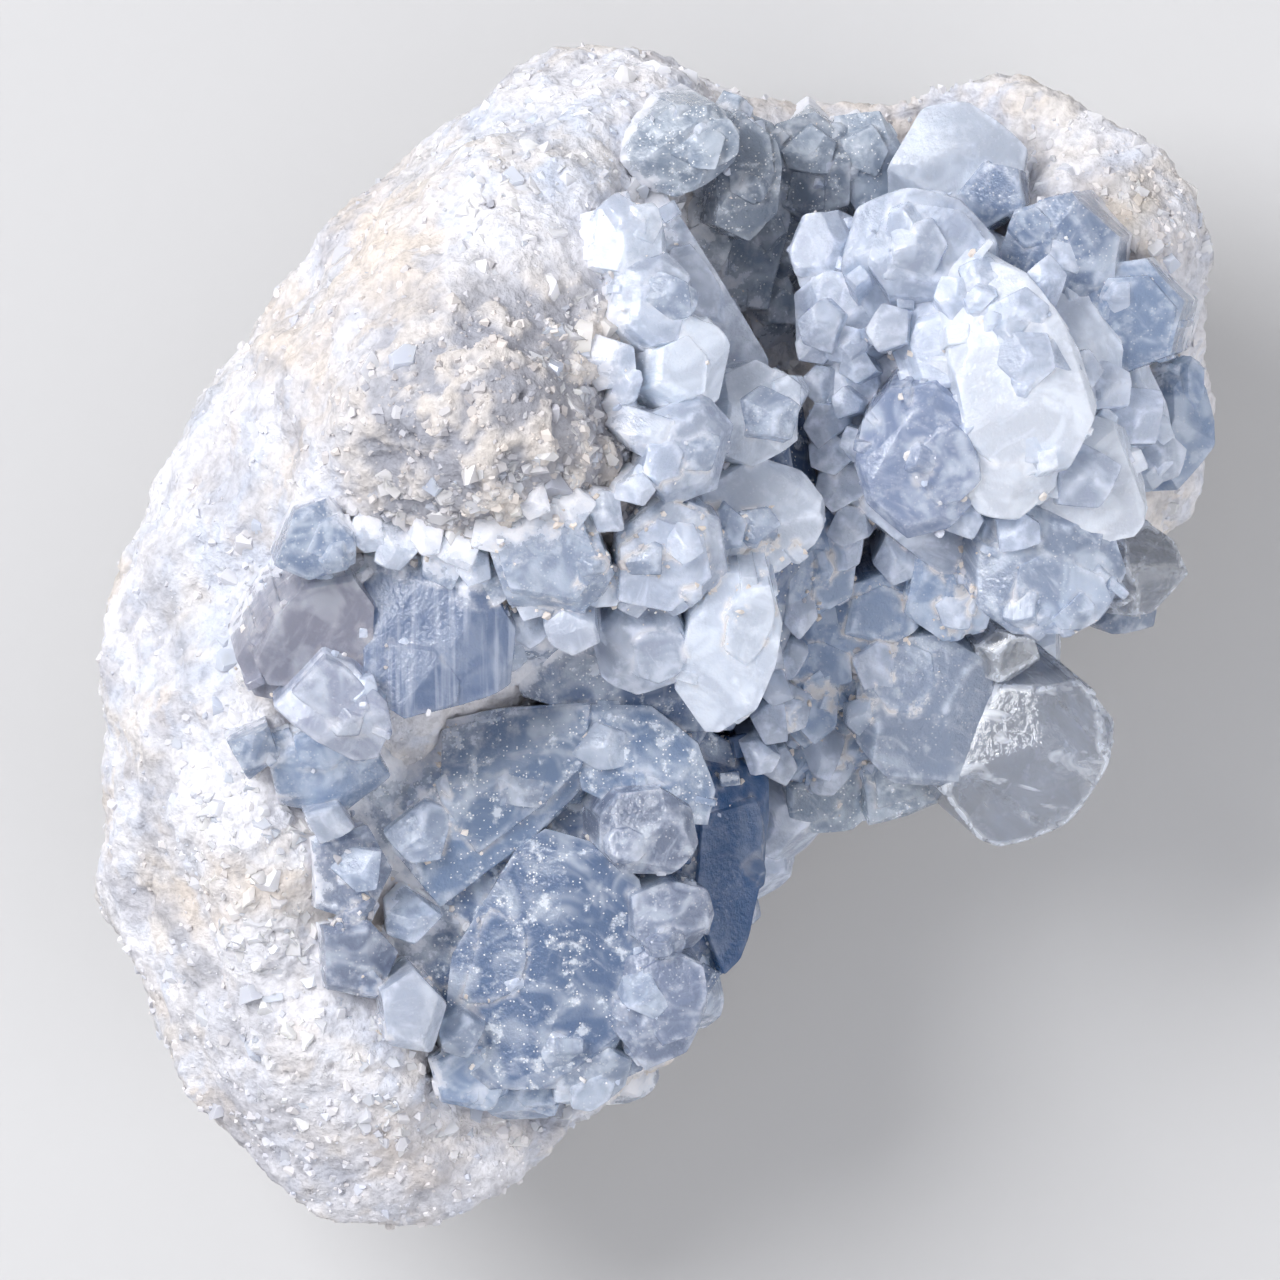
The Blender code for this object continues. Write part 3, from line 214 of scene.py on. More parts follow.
PALE_CRYSTALS = [
    # The broad body under the right cluster, and the lower one under the small crystals
    Crystal([(13, 22), (15, 34), (24, 37), (32, 33), (38, 24), (41, 15), (36, 5), (24, 5), (15, 12)],
            top=42, faces=((60, 4),), bevel=3, root=18),
    Crystal([(10.5, 9), (20, 10), (34, 4), (30, -4), (25, -11), (15, -13), (10, -12), (10.2, -3)],
            top=32, faces=((-40, 6),), bevel=2, root=14),
    # Heads of the right cluster, from the top down
    Crystal([(19, 40), (22, 46), (26, 46.6), (31, 43), (30.5, 39.5), (25, 37.4)],
            top=40, faces=((110, 20), (-60, 16), (20, 22)), lean=(95, 28), bevel=1.0, root=20),
    Crystal([(9.6, 33), (11, 36.2), (15, 36.5), (16.7, 33.5), (15.2, 30), (11, 29.7)],
            top=44.5, faces=((150, 16),), lean=(160, 34), bevel=1.5),
    Crystal([(14.8, 32), (16.3, 37.1), (20, 38.9), (25, 38.2), (28.2, 34.5), (27.4, 30.3), (22, 29),
             (17, 29)], top=49.5, faces=((110, 12), (-40, 10)), lean=(115, 22), bevel=2.2, root=28),
    Crystal([(9.8, 25), (10.3, 29.3), (14, 31.3), (18.3, 30.3), (19.4, 26), (16, 23.2), (12, 23.2)],
            top=45, faces=((190, 14),), lean=(180, 30), bevel=1.6),
    Crystal([(17, 26), (18.4, 28.5), (20.8, 27.8), (20.7, 25), (18.2, 24.2)],
            top=49.5, faces=((200, 10),), lean=(180, 10), bevel=0.8, root=14),
    Crystal([(19, 25), (20, 30), (25, 31), (27, 26), (25, 21), (20.5, 21)],
            top=48.5, faces=((160, 14),), lean=(160, 8), bevel=1.6),
    Crystal([(24.3, 31), (27.5, 34.6), (31.2, 31.5), (35.8, 25), (37.4, 20), (35.3, 15), (30, 14), (26.2, 17),
             (24.8, 24)], top=52.5, faces=((30, 14), (200, 9)), lean=(40, 14), bevel=1.8, root=30),
    Crystal([(19, 20.7), (23, 21.4), (25.7, 19.2), (27.2, 15), (27.2, 12), (24.2, 8.8), (20.5, 7.8),
             (17.1, 10.8), (16, 14), (16.6, 17.6)],
            top=51, faces=((-110, 10),), lean=(-115, 18), bevel=1.9, root=28),
    Crystal([(26.8, 19), (31, 20.3), (34.4, 17), (34, 12), (30.5, 9.5), (27, 10.2), (25.4, 13)],
            top=50.5, faces=((-60, 12), (90, 8)), lean=(-60, 20), bevel=1.4, root=28),
    Crystal([(33, 17), (36, 19.2), (40.7, 17.5), (43, 13), (41.5, 8.2), (36, 7.5), (32.7, 10.5)],
            top=47, faces=((-20, 16),), lean=(-15, 32), bevel=1.8),
    Crystal([(27.6, 9.6), (31, 11), (34.2, 9.9), (39.2, 7.5), (40.5, 4), (38.5, 1.3), (35, -0.3), (30, -0.3),
             (27.1, 2), (27, 6)], top=47, faces=((-80, 13), (20, 9)), lean=(-60, 32), bevel=1.6, root=28),
    Crystal([(38, 8.5), (41.3, 9.8), (44.7, 8), (46.6, 5.2), (43.6, 1.7), (40, 1.7), (37.5, 4)],
            top=39.5, faces=((-20, 26),), lean=(-10, 48), bevel=0.9),
    Crystal([(37.5, 3), (40, 3.8), (43.2, 3), (43.3, 0.7), (39, 0), (37, 1)],
            top=35, faces=((-40, 24),), lean=(-20, 45), bevel=0.7, root=18),
    Crystal([(33.5, 30), (37, 31), (39.8, 27), (40, 20), (37, 16), (34.5, 20), (33, 26)],
            top=46, faces=((20, 24),), lean=(20, 28), bevel=1.4),
    Crystal([(38, 24), (42, 25), (44.5, 20), (44.5, 14), (41, 12), (38.5, 16)],
            top=42, faces=((0, 26),), lean=(0, 38), bevel=1.3),
    Crystal([(42.5, 22), (45, 24.5), (47.7, 22), (47.9, 16), (45.3, 12.5), (42.5, 15)],
            top=36, faces=((0, 28),), lean=(0, 42), bevel=1.1, root=16),
    # Blue windows at the right lobe's inner edge
    Crystal([(27.8, 32), (29.5, 36.3), (34.8, 37.8), (38.8, 34), (38, 29.5), (32, 27.5)],
            top=46, faces=((-120, 20),), lean=(200, 16), bevel=0.8, root=16),
    Crystal([(35, 27), (37, 31.6), (41, 32.2), (44.2, 28.5), (43, 24), (38, 22)],
            top=45, faces=((-100, 20),), lean=(200, 12), bevel=0.8, root=16),
    Crystal([(24.5, 37.5), (27, 40.5), (30.3, 39.8), (30.8, 36.5), (27, 34.8)],
            top=41, faces=((200, 22),), lean=(180, 10), bevel=0.8, root=18),
    # The small ones between the two groups
    Crystal([(9.9, 2.2), (10.3, 8.7), (14, 10.8), (17, 8.2), (16.4, 3), (13, 1.2)],
            top=41, faces=((-30, 20),), lean=(-60, 18), bevel=1.1),
    Crystal([(14.6, 0.3), (15.2, 4.3), (18.5, 5.6), (22.3, 4.2), (22.7, 0.8), (19, -1.2)],
            top=38.5, faces=((-60, 16),), lean=(-60, 18), bevel=1.2),
    Crystal([(20.7, 1.5), (21.7, 7.8), (26, 8.9), (28.8, 5), (27.8, 0.2), (24, -0.9)],
            top=41, faces=((-100, 22), (30, 12)), lean=(-80, 18), bevel=1.3),
    Crystal([(10.4, -4), (11, 1.7), (16, 2.8), (20.4, 0.6), (20.4, -4.3), (15, -5.9)],
            top=38, faces=((-120, 16), (40, 12)), lean=(-90, 16), bevel=1.2),
    Crystal([(16.7, -5), (18.8, -0.7), (24, -0.2), (28.3, -2.8), (28.8, -8.5), (25.6, -13.6), (20, -13.3),
             (16.7, -9.6)], top=39, faces=((-70, 14), (100, 10)), lean=(-70, 22), bevel=2.2),
    Crystal([(9.9, -7.6), (10.4, -2), (12.5, 0.2), (15, -2.5), (14.8, -8.2), (12.3, -10.7)],
            top=36.5, faces=((-100, 22),), lean=(-80, 18), bevel=1.0),
    Crystal([(26.8, -1), (28.5, 0.6), (31.6, -0.1), (32.6, -2.5), (30, -4.3), (27.3, -3.7)],
            top=38.5, faces=((-60, 18),), lean=(-50, 28), bevel=0.8, root=20),
    # The clear crystal that stands free, pointing to the lower right
    Crystal([(24.7, -14), (26.3, -10.3), (29.5, -4.9), (36.5, -4.5), (39.9, -8.3), (38.4, -12), (35.1, -16.8),
             (32, -18.5), (30, -19.1), (28.2, -18.4)],
            top=39, faces=((-30, 16), (150, 14)), lean=(-42, 34), bevel=2.4, root=26),
    # Dark ones under the lower edge
    Crystal([(10.2, -12), (15, -9.5), (18, -12), (17.7, -17), (13, -18), (10.4, -17)],
            top=29, faces=((-80, 26),), lean=(-80, 34), bevel=1.1, root=16),
    Crystal([(17, -12), (19, -9.3), (24.4, -11), (26.3, -14.5), (21, -16.4), (17.8, -17)],
            top=31, faces=((-60, 24),), lean=(-70, 34), bevel=1.1, root=16),
]

HOLLOW_CRYSTALS = [
    # The floor of the hollow, and the striped face at its upper left
    Crystal([(-3, 24), (-4, 44), (5, 47), (20, 46), (24, 40), (18, 30), (12, 22), (4, 20)],
            top=24.5, faces=((80, 6),), bevel=2, root=14),
    Crystal([(1, 29), (-3, 38), (-2, 43), (4, 45.6), (9.5, 44), (11, 36), (9, 28)],
            top=38.5, faces=((-20, 26),), bevel=2, root=20),
    Crystal([(-2.3, 42.6), (1, 45), (4.6, 45.3), (7, 42.7), (6.8, 40), (4.5, 38.2), (1.5, 37), (-1.7, 38.3),
             (-3.3, 40.2)], top=47.5, faces=((-60, 16),), lean=(-40, 22), bevel=1.2, root=26),
    Crystal([(4.5, 35), (5, 42), (7.6, 44.6), (10.4, 42), (10.4, 36), (8, 33.5)],
            top=42.5, faces=((-30, 28), (90, 20)), lean=(-20, 20), bevel=1.0, root=24),
    Crystal([(0.5, 31), (0.8, 37), (4.5, 38.6), (7, 35), (6, 30.5), (3, 29)],
            top=38, faces=((-20, 30),), lean=(-10, 24), bevel=1.2, root=22),
    Crystal([(5, 26), (4.6, 31), (8.5, 33.7), (11, 30), (10.8, 26.5), (8, 24.3)],
            top=31, faces=((170, 18),), lean=(120, 14), bevel=1.1, root=16),
    Crystal([(6, 33), (7, 37), (11, 37.5), (13, 33.5), (10, 30.5)],
            top=32, faces=((120, 20),), lean=(120, 14), bevel=1.2, root=16),
    # The dark saddle at the top
    Crystal([(8.6, 38), (9.6, 43.8), (13, 45), (16, 42.5), (16, 37), (12, 35.8)],
            top=35, faces=((-100, 20), (60, 16)), lean=(60, 8), bevel=1.1, root=20),
    Crystal([(14, 40), (14.6, 44.6), (18.5, 45), (21, 41), (20, 37), (16.5, 36.5)],
            top=34, faces=((-40, 18), (110, 16)), lean=(80, 8), bevel=1.1, root=18),
]

BLUE_POINTS = [
    Point(-18.5, 5.8, 58, (-70, 22), 1.9), Point(-14.6, 4.4, 57, (-60, 20), 2.1),
    Point(-1.5, 6.5, 58, (-60, 14), 1.8), Point(5.2, 8.9, 53.5, (-50, 14), 1.8),
    Point(8.2, 9.4, 52.5, (0, 8), 1.6), Point(-13.2, -1.2, 53, (-40, 26), 1.7),
    Point(2.5, 16, 59, (0, 20), 2.2), Point(9.5, 19, 54, (20, 20), 2.4), Point(0.2, 29, 59, (20, 22), 2.2),
    Point(-12, -13, 46.5, (-80, 18), 2.2), Point(-20.5, -17, 46, (-100, 16), 2.6),
    Point(-21.5, -24, 45.5, (-60, 14), 2.4), Point(-5, -9.5, 48, (-60, 14), 2.1),
    Point(-17.4, -34, 45.5, (-90, 16), 1.9), Point(-9, -35, 44, (-60, 22), 1.9),
    Point(-1.5, -31, 46.5, (-60, 22), 1.8), Point(-25.6, -20, 49, (-30, 18), 2.0),
]

PALE_POINTS = [
    Point(13, 26.5, 48, (180, 20), 2.1), Point(15.5, 21.5, 45, (200, 14), 2.8),
    Point(21.5, 33.5, 52, (110, 10), 2.4), Point(25, 29, 52, (100, 12), 2.2),
    Point(31, 24, 54.5, (30, 12), 2.4), Point(36.5, 13.5, 50, (-10, 18), 2.6),
    Point(40.5, 19, 46, (10, 24), 2.6), Point(42.5, 15.5, 43, (0, 28), 2.3),
    Point(37.5, 21.5, 48, (20, 22), 2.5), Point(30.2, 8.9, 49.5, (-70, 16), 2.0),
    Point(25.5, 10.2, 50, (-80, 18), 1.8), Point(15.6, 7.2, 43, (-60, 20), 1.9),
    Point(19.8, 6.6, 42, (-90, 16), 2.0), Point(18.2, -2.4, 40, (-90, 18), 1.9),
    Point(25, 2.4, 42.5, (-70, 18), 1.9), Point(13.6, -10.2, 34.5, (-90, 30), 2.1),
    Point(34, 33, 47.5, (200, 18), 1.9),
]

HOLLOW_POINTS = [
    Point(9, 28.3, 33.5, (150, 20), 1.9), Point(4.2, 33, 39, (-20, 30), 2.0),
    Point(8.6, 35.2, 36, (100, 20), 1.9), Point(12.5, 41, 37, (-90, 16), 2.0),
    Point(17.5, 41.5, 36, (-60, 16), 2.0), Point(3.5, 41.5, 49.5, (-60, 20), 2.0),
]

# The broken flanks are covered with crystals that point outwards, in rows of (azimuths, height, radius)
BLUE_FLANK = [(range(-88, -60, 9), 25.0, 3.4)]
PALE_FLANK = [(range(-58, 24, 9), 24.5, 3.8), (range(-54, 18, 12), 17.5, 3.4)]
FLANK_LENGTH = 17.0

# The longest edge of a crystal's mesh, the gap between marks along its edges, and how far from an edge, and
# from the stone, a vertex still knows its distance
LONGEST_EDGE = 1.2
MARK_GAP = 0.6
EDGE_REACH = 3.0
WALL_REACH = 4.0

# How finely the stone is meshed. It is made in three pieces, parted where its slant passes SLANT_LIMIT.
FINE_SPOKES, FINE_RINGS = 168, 34
STONE_CELL = 0.40
SLANT_LIMIT = 0.42

# The stone's grain: the size and height of the facets of its broken face, and of the soft bumps on them.
# MEAN_DEPTH is what a facet rises on average, and BEND_SIZE and BEND_REACH say how the facets are bent.
GRAINS = [(4.2, 0.60), (1.9, 0.42), (0.95, 0.16)]
ROUGHNESS_SIZES = [(3.2, 0.55), (1.2, 0.26)]
MEAN_DEPTH = 0.42
BEND_SIZE, BEND_REACH = 5.0, 1.2
CLOD_HEIGHT = 0.9
HOLE_DEPTH = 0.8

# The looks of the crystals: colour, the share of light let through, and how much dust lies on them
Look = namedtuple("Look", "colour clear dust")
LOOKS = {
    "deep": Look((0.03, 0.09, 0.23), 0.20, 0.0),
    "dusty": Look((0.115, 0.175, 0.31), 0.20, 1.0),
    "ridge": Look((0.19, 0.27, 0.43), 0.25, 0.9),
    "blue": Look((0.30, 0.40, 0.60), 0.35, 0.4),
    "dusk": Look((0.22, 0.29, 0.44), 0.30, 0.5),
    "lilac": Look((0.27, 0.275, 0.35), 0.20, 0.12),
    "stripe": Look((0.14, 0.195, 0.33), 0.30, 0.06),
    "round": Look((0.25, 0.31, 0.47), 0.30, 0.3),
    "head": Look((0.28, 0.34, 0.50), 0.50, 0.45),
    "milk": Look((0.43, 0.52, 0.71), 0.50, 0.45),
    "pale": Look((0.62, 0.70, 0.89), 0.46, 0.25),
    "bright": Look((0.77, 0.82, 0.94), 0.34, 0.3),
    "white": Look((0.57, 0.63, 0.78), 0.32, 0.25),
    "haze": Look((0.42, 0.46, 0.60), 0.35, 0.25),
    "frost": Look((0.71, 0.78, 0.93), 0.36, 0.3),
    "glass": Look((0.70, 0.79, 0.88), 0.70, 0.1),
    "slate": Look((0.34, 0.42, 0.55), 0.40, 0.8),
    "dark": Look((0.32, 0.39, 0.51), 0.45, 0.9),
}
BLUE_LOOKS = (
    "dusty dusty ridge ridge deep head head head milk blue blue white head head blue white dusk lilac stripe "
    "haze dusk dusty pale ridge dusty white pale frost milk pale frost frost pale frost pale frost"
).split()
PALE_LOOKS = (
    "pale blue frost pale pale pale white pale bright round bright bright milk glass dusk frost frost blue "
    "dusk blue dusk blue blue blue blue milk blue glass glass slate slate"
).split()
HOLLOW_LOOKS = "dark slate slate dark dark dark dark dark slate".split()
CLEAR_ONES = (13, 27, 28)
# Small crystals under the plateau, and others that fill the gaps between the two groups
BLUE_FILL = [
    Point(-22.6, 7.4, 58.8, (-80, 20), 1.8, 12), Point(-20.0, 8.4, 60.2, (-70, 20), 1.6, 12),
    Point(-17.4, 7.8, 60.0, (-80, 24), 2.0, 12), Point(-14.4, 8.8, 60.9, (-70, 18), 1.7, 12),
    Point(-11.0, 11.6, 63.0, (-60, 20), 1.6, 12), Point(-8.0, 10.9, 61.2, (-60, 20), 1.9, 12),
    Point(-4.8, 10.6, 60.0, (-50, 20), 1.7, 12), Point(-2.0, 12.4, 60.6, (-40, 20), 1.6, 12),
    Point(-11.6, 0.3, 54.6, (-80, 24), 1.6, 12), Point(-11.2, 2.8, 56.8, (-80, 20), 1.5, 12),
    Point(-5.2, 3.8, 57.0, (-80, 20), 1.8, 12), Point(0.8, 3.5, 55.2, (-60, 20), 1.6, 12),
    Point(-2.6, 3.0, 56.2, (-70, 20), 1.5, 12), Point(-8.0, 2.6, 56.8, (-80, 20), 1.5, 12),
    Point(2.0, 7.8, 58.0, (-50, 20), 1.5, 12), Point(-16.0, 5.9, 58.6, (-80, 22), 1.5, 12),
    Point(-25.4, 8.6, 59.0, (-80, 20), 1.6, 12), Point(-12.4, 6.6, 60.0, (-70, 18), 1.4, 12),
    Point(-0.6, 17.0, 59.6, (-30, 34), 2.2, 12), Point(-2.6, 21.6, 59.2, (40, 30), 1.3, 12),
    Point(-4.0, 23.4, 59.4, (-20, 38), 2.4, 12), Point(-3.6, 35.4, 58.0, (60, 30), 2.6, 12),
]
PALE_FILL = [
    Point(12.8, 24.6, 46.0, (200, 15), 1.6, 12), Point(13.2, 21.4, 45.5, (190, 15), 1.9, 12),
    Point(13.6, 18.4, 46.0, (200, 18), 2.0, 12), Point(14.3, 15.4, 45.5, (210, 15), 1.9, 12),
    Point(14.8, 12.4, 45.0, (220, 15), 2.1, 12), Point(15.6, 9.4, 44.5, (230, 15), 1.8, 12),
    Point(16.2, 23.0, 46.5, (180, 12), 1.5, 12), Point(15.4, 19.8, 47.0, (190, 16), 1.3, 12),
    Point(16.2, 16.6, 47.0, (200, 14), 1.2, 12), Point(11.6, 1.8, 42.5, (-80, 20), 1.7, 12),
    Point(10.6, -2.0, 41.0, (-80, 20), 1.6, 12), Point(10.8, -6.4, 39.5, (-70, 20), 1.8, 12),
    Point(9.8, -11.0, 37.0, (-60, 20), 1.5, 12), Point(14.0, -11.5, 33.0, (-70, 25), 2.0, 12),
    Point(9.0, -7.6, 41.5, (-70, 18), 1.7, 12), Point(9.6, -4.6, 43.0, (-70, 18), 1.5, 12),
    Point(8.2, -10.4, 40.5, (-70, 18), 1.6, 12), Point(9.2, -1.6, 44.0, (-70, 18), 1.4, 12),
    Point(27.2, 30.4, 52.0, (100, 20), 2.2, 12), Point(30.4, 27.6, 53.4, (60, 12), 2.4, 12),
    Point(28.4, 24.6, 53.0, (150, 14), 2.1, 12), Point(32.8, 23.6, 53.3, (30, 16), 2.5, 12),
    Point(30.2, 20.6, 53.2, (200, 10), 2.3, 12), Point(34.2, 19.2, 52.2, (0, 22), 2.2, 12),
    Point(31.4, 16.6, 52.4, (-60, 18), 2.0, 12), Point(35.4, 22.6, 51.2, (10, 28), 1.9, 12),
    Point(32.4, 30.6, 51.4, (60, 24), 1.9, 12), Point(27.6, 27.8, 52.6, (170, 24), 1.6, 12),
]


def lattice_random(cell, seed):
    """A number from 0 to 1 for each whole-numbered place."""
    cell = cell.astype(np.uint32)
    mixed = cell[..., 0] * np.uint32(73856093) ^ cell[..., 1] * np.uint32(19349663)
    mixed ^= cell[..., 2] * np.uint32(83492791) ^ np.uint32(seed * 2654435761 & 0xFFFFFFFF)
    for shift, factor in ((15, 2246822519), (13, 3266489917)):
        mixed ^= mixed >> np.uint32(shift)
        mixed *= np.uint32(factor)
    return (mixed >> np.uint32(8)) * (1.0 / (1 << 24))


def soft_noise(places, size, seed):
    """Smooth noise from -1 to 1 whose bumps are about this size."""
    scaled = places / size
    base = np.floor(scaled).astype(np.int64)
    inside = scaled - base
    blend = inside * inside * inside * (inside * (inside * 6 - 15) + 10)
    total = np.zeros(len(places))
    for corner in np.ndindex(2, 2, 2):
        corner = np.array(corner)
        cell = base + corner
        share = np.where(corner, blend, 1 - blend)
        share = share[:, 0] * share[:, 1] * share[:, 2]
        arm = inside - corner
        slope = sum((lattice_random(cell, seed + 17 * axis) * 2 - 1) * arm[:, axis] for axis in range(3))
        total += share * slope
    return total * 1.6


def layered_noise(places, size, seed, layers=4):
    """Soft noise with finer noise on it."""
    total = np.zeros(len(places))
    for layer in range(layers):
        total += soft_noise(places, size / 2**layer, seed + 101 * layer) / 2**layer
    return total / 1.6


def crystal_shapes(count, seed):
    """Normals and distances of the planes of some random convex crystals of radius 1."""
    dice = np.random.default_rng(seed)
    normals = dice.normal(size=(count, 7, 3))
    normals /= np.linalg.norm(normals, axis=-1, keepdims=True)
    return normals, dice.uniform(0.45, 0.8, size=(count, 7))


def facets(places, size, seed):
    """How deep each place lies in the crystals of a packed heap, and a random number for its crystal."""
    normals, distances = crystal_shapes(24, seed)
    scaled = places / size
    base = np.floor(scaled).astype(np.int64)
    best = np.full(len(places), -1.0)
    owner = np.zeros(len(places))
    for step in np.ndindex(3, 3, 3):
        cell = base + np.array(step) - 1
        middle = cell + np.stack([lattice_random(cell, seed + 31 * axis) for axis in range(3)], axis=-1)
        arm = scaled - middle
        near = np.flatnonzero(np.einsum("ij,ij->i", arm, arm) < 1.6)
        pick = lattice_random(cell[near], seed + 7)
        shape = (pick * len(normals)).astype(int)
        depth = distances[shape] * 1.25 - np.einsum("nkj,nj->nk", normals[shape], arm[near])
        depth = depth.min(axis=1)
        better = depth > best[near]
        best[near[better]] = depth[better]
        owner[near[better]] = (pick[better] * 97.3) % 1.0
    return best, owner


def smooth_step(low, high, values):
    """0 at low and 1 at high, with a soft rise between them."""
    share = np.clip((values - low) / (high - low), 0.0, 1.0)
    return share * share * (3 - 2 * share)


def fine_radii(spokes):
    """The stone's distance from the centre along each spoke, with its corners rounded."""
    radii = stone_radii()
    spread = np.arange(-4, 5) * 1.1
    weights = np.exp(-((spread / 2.2) ** 2))
    reaches = []
    for spoke in range(spokes):
        turn = 360 * spoke / spokes
        reaches.append(sum(w * around(radii, turn + s) for s, w in zip(spread, weights)) / weights.sum())
    return reaches


def stone_form():
    """The geode wall before its grain, as a mesh of even squares."""
    mesh, bottom, top = ring_shell(fine_radii(FINE_SPOKES), FINE_RINGS)
    mesh.faces.new(bottom[0][::-1])
    mesh.faces.new(top[0])
    add_relief(mesh)
    rough = mesh_object("stone_form", mesh)
    squares = rough.modifiers.new("Squares", "REMESH")
    squares.mode = "VOXEL"
    squares.voxel_size = STONE_CELL * 1.0
    graph = bpy.context.evaluated_depsgraph_get()
    even = bpy.data.meshes.new_from_object(rough.evaluated_get(graph))
    bpy.data.objects.remove(rough, do_unlink=True)
    return even


def mesh_object(name, mesh):
    """An object from a bmesh."""
    data = bpy.data.meshes.new(name)
    mesh.to_mesh(data)
    mesh.free()
    made = bpy.data.objects.new(name, data)
    bpy.context.scene.collection.objects.link(made)
    return made


def vertex_arrays(data):
    """The places and normals of a mesh's vertices."""
    places = np.empty(len(data.vertices) * 3, np.float32)
    normals = np.empty(len(data.vertices) * 3, np.float32)
    data.vertices.foreach_get("co", places)
    data.vertices.foreach_get("normal", normals)
    return places.reshape(-1, 3).astype(float), normals.reshape(-1, 3).astype(float)


def as_drawn(places):
    """Where places are seen from the eye, in the flat drawing that the tables are made in."""
    scale = (EYE.z - SEEN_PLANE) / (EYE.z - places[:, 2])
    return np.stack([EYE.x + (places[:, 0] - EYE.x) * scale, EYE.y + (places[:, 1] - EYE.y) * scale], axis=-1)


# Where the stone's colours lie as seen from the eye: x, y, the two radii, the turn, the colour and its share
PATCHES = [
    (-11, 17, 15, 13, 20, "grey", 0.75),
    (-4, 12, 10, 8, -30, "tan", 0.75),
    (-9, 24, 8, 4, 30, "tan", 0.45),
    (-17, 9, 9, 4, -10, "tan", 0.55),
    (-19, 16, 6, 5, 0, "smoke", 0.7),
    (-3, 18, 4, 3, 0, "smoke", 0.35),
    (-13, 33, 8, 4, 35, "white", 0.9),
    (-4, 40, 9, 6, 0, "bluish", 0.55),
    (-23.5, 34, 3, 8, -32, "peach", 0.75),
    (-30.5, 25, 2.5, 7, -38, "peach", 0.6),
    (-27, 36.5, 2.0, 4, -40, "grey", 0.5),
    (-36, -21.5, 6.5, 2.5, 10, "peach", 0.85),
    (-41, -19, 3, 3, 0, "tan", 0.6),
    (-36, 5, 6, 12, -15, "bluish", 0.55),
    (-33, -32, 7, 9, 25, "white", 0.9),
    (-36, -12, 5, 8, 0, "white", 0.8),
    (-41, -26, 2.2, 6, 15, "smoke", 0.6),
    (-36.5, -33, 2.0, 4, 25, "smoke", 0.5),
    (-25, -45, 13, 4.5, -12, "grey", 0.55),
    (-19, -43, 9, 3, -10, "peach", 0.5),
    (-35, -41, 4.5, 3, -40, "grey", 0.6),
    (-24, -22.5, 2.5, 4, 20, "peach", 0.7),
    (-27, -29, 2.2, 3, 10, "smoke", 0.6),
    (-30, 9, 3, 3, 0, "bluish", 0.6),
    (39.5, 35.5, 4.6, 6.0, 20, "tan", 0.95),
    (40, 36, 2.6, 4.2, 20, "skin", 0.7),
    (38.5, 38, 2.0, 2.0, 0, "grey", 0.6),
    (33, 43, 4, 3, 0, "cream", 0.6),
    (14, 45.5, 8, 1.8, 0, "tan", 0.8),
    (45, 32, 3, 7, 0, "bluish", 0.3),
    (-25, 34, 3.5, 9, 35, "peach", 0.9),
    (-31, 24, 3, 6, 30, "peach", 0.8),
    (-37, 13, 2.5, 6, 15, "grey", 0.6),
    (-41.5, 2, 2, 8, 5, "smoke", 0.5),
    (-42.5, -13, 2, 6, -5, "smoke", 0.5),
    (-33, 20, 1.6, 5, 35, "smoke", 0.4),
    (-14, 44, 5, 2.5, 0, "bluish", 0.5),
]
# Clouds of colour all over the stone: the colour, where its noise starts and is full, the noise's size and
# seed, and the share
STONE_CLOUDS = [
    ("bluish", 0.02, 0.35, 8.0, 260, 0.6),
    ("cream", 0.0, 0.22, 7.0, 265, 0.85),
    ("peach", 0.16, 0.34, 9.0, 268, 0.75),
    ("grey", 0.20, 0.40, 6.0, 272, 0.65),
    ("white", 0.0, 0.25, 11.0, 277, 0.75),
]
STONE_COLOURS = {
    "white": (0.87, 0.865, 0.92),
    "bluish": (0.54, 0.60, 0.74),
    "grey": (0.50, 0.50, 0.56),
    "smoke": (0.33, 0.34, 0.40),
    "tan": (0.71, 0.635, 0.575),
    "peach": (0.76, 0.68, 0.62),
    "cream": (0.82, 0.77, 0.74),
    "skin": (0.47, 0.45, 0.42),
    "rust": (0.42, 0.30, 0.20),
}


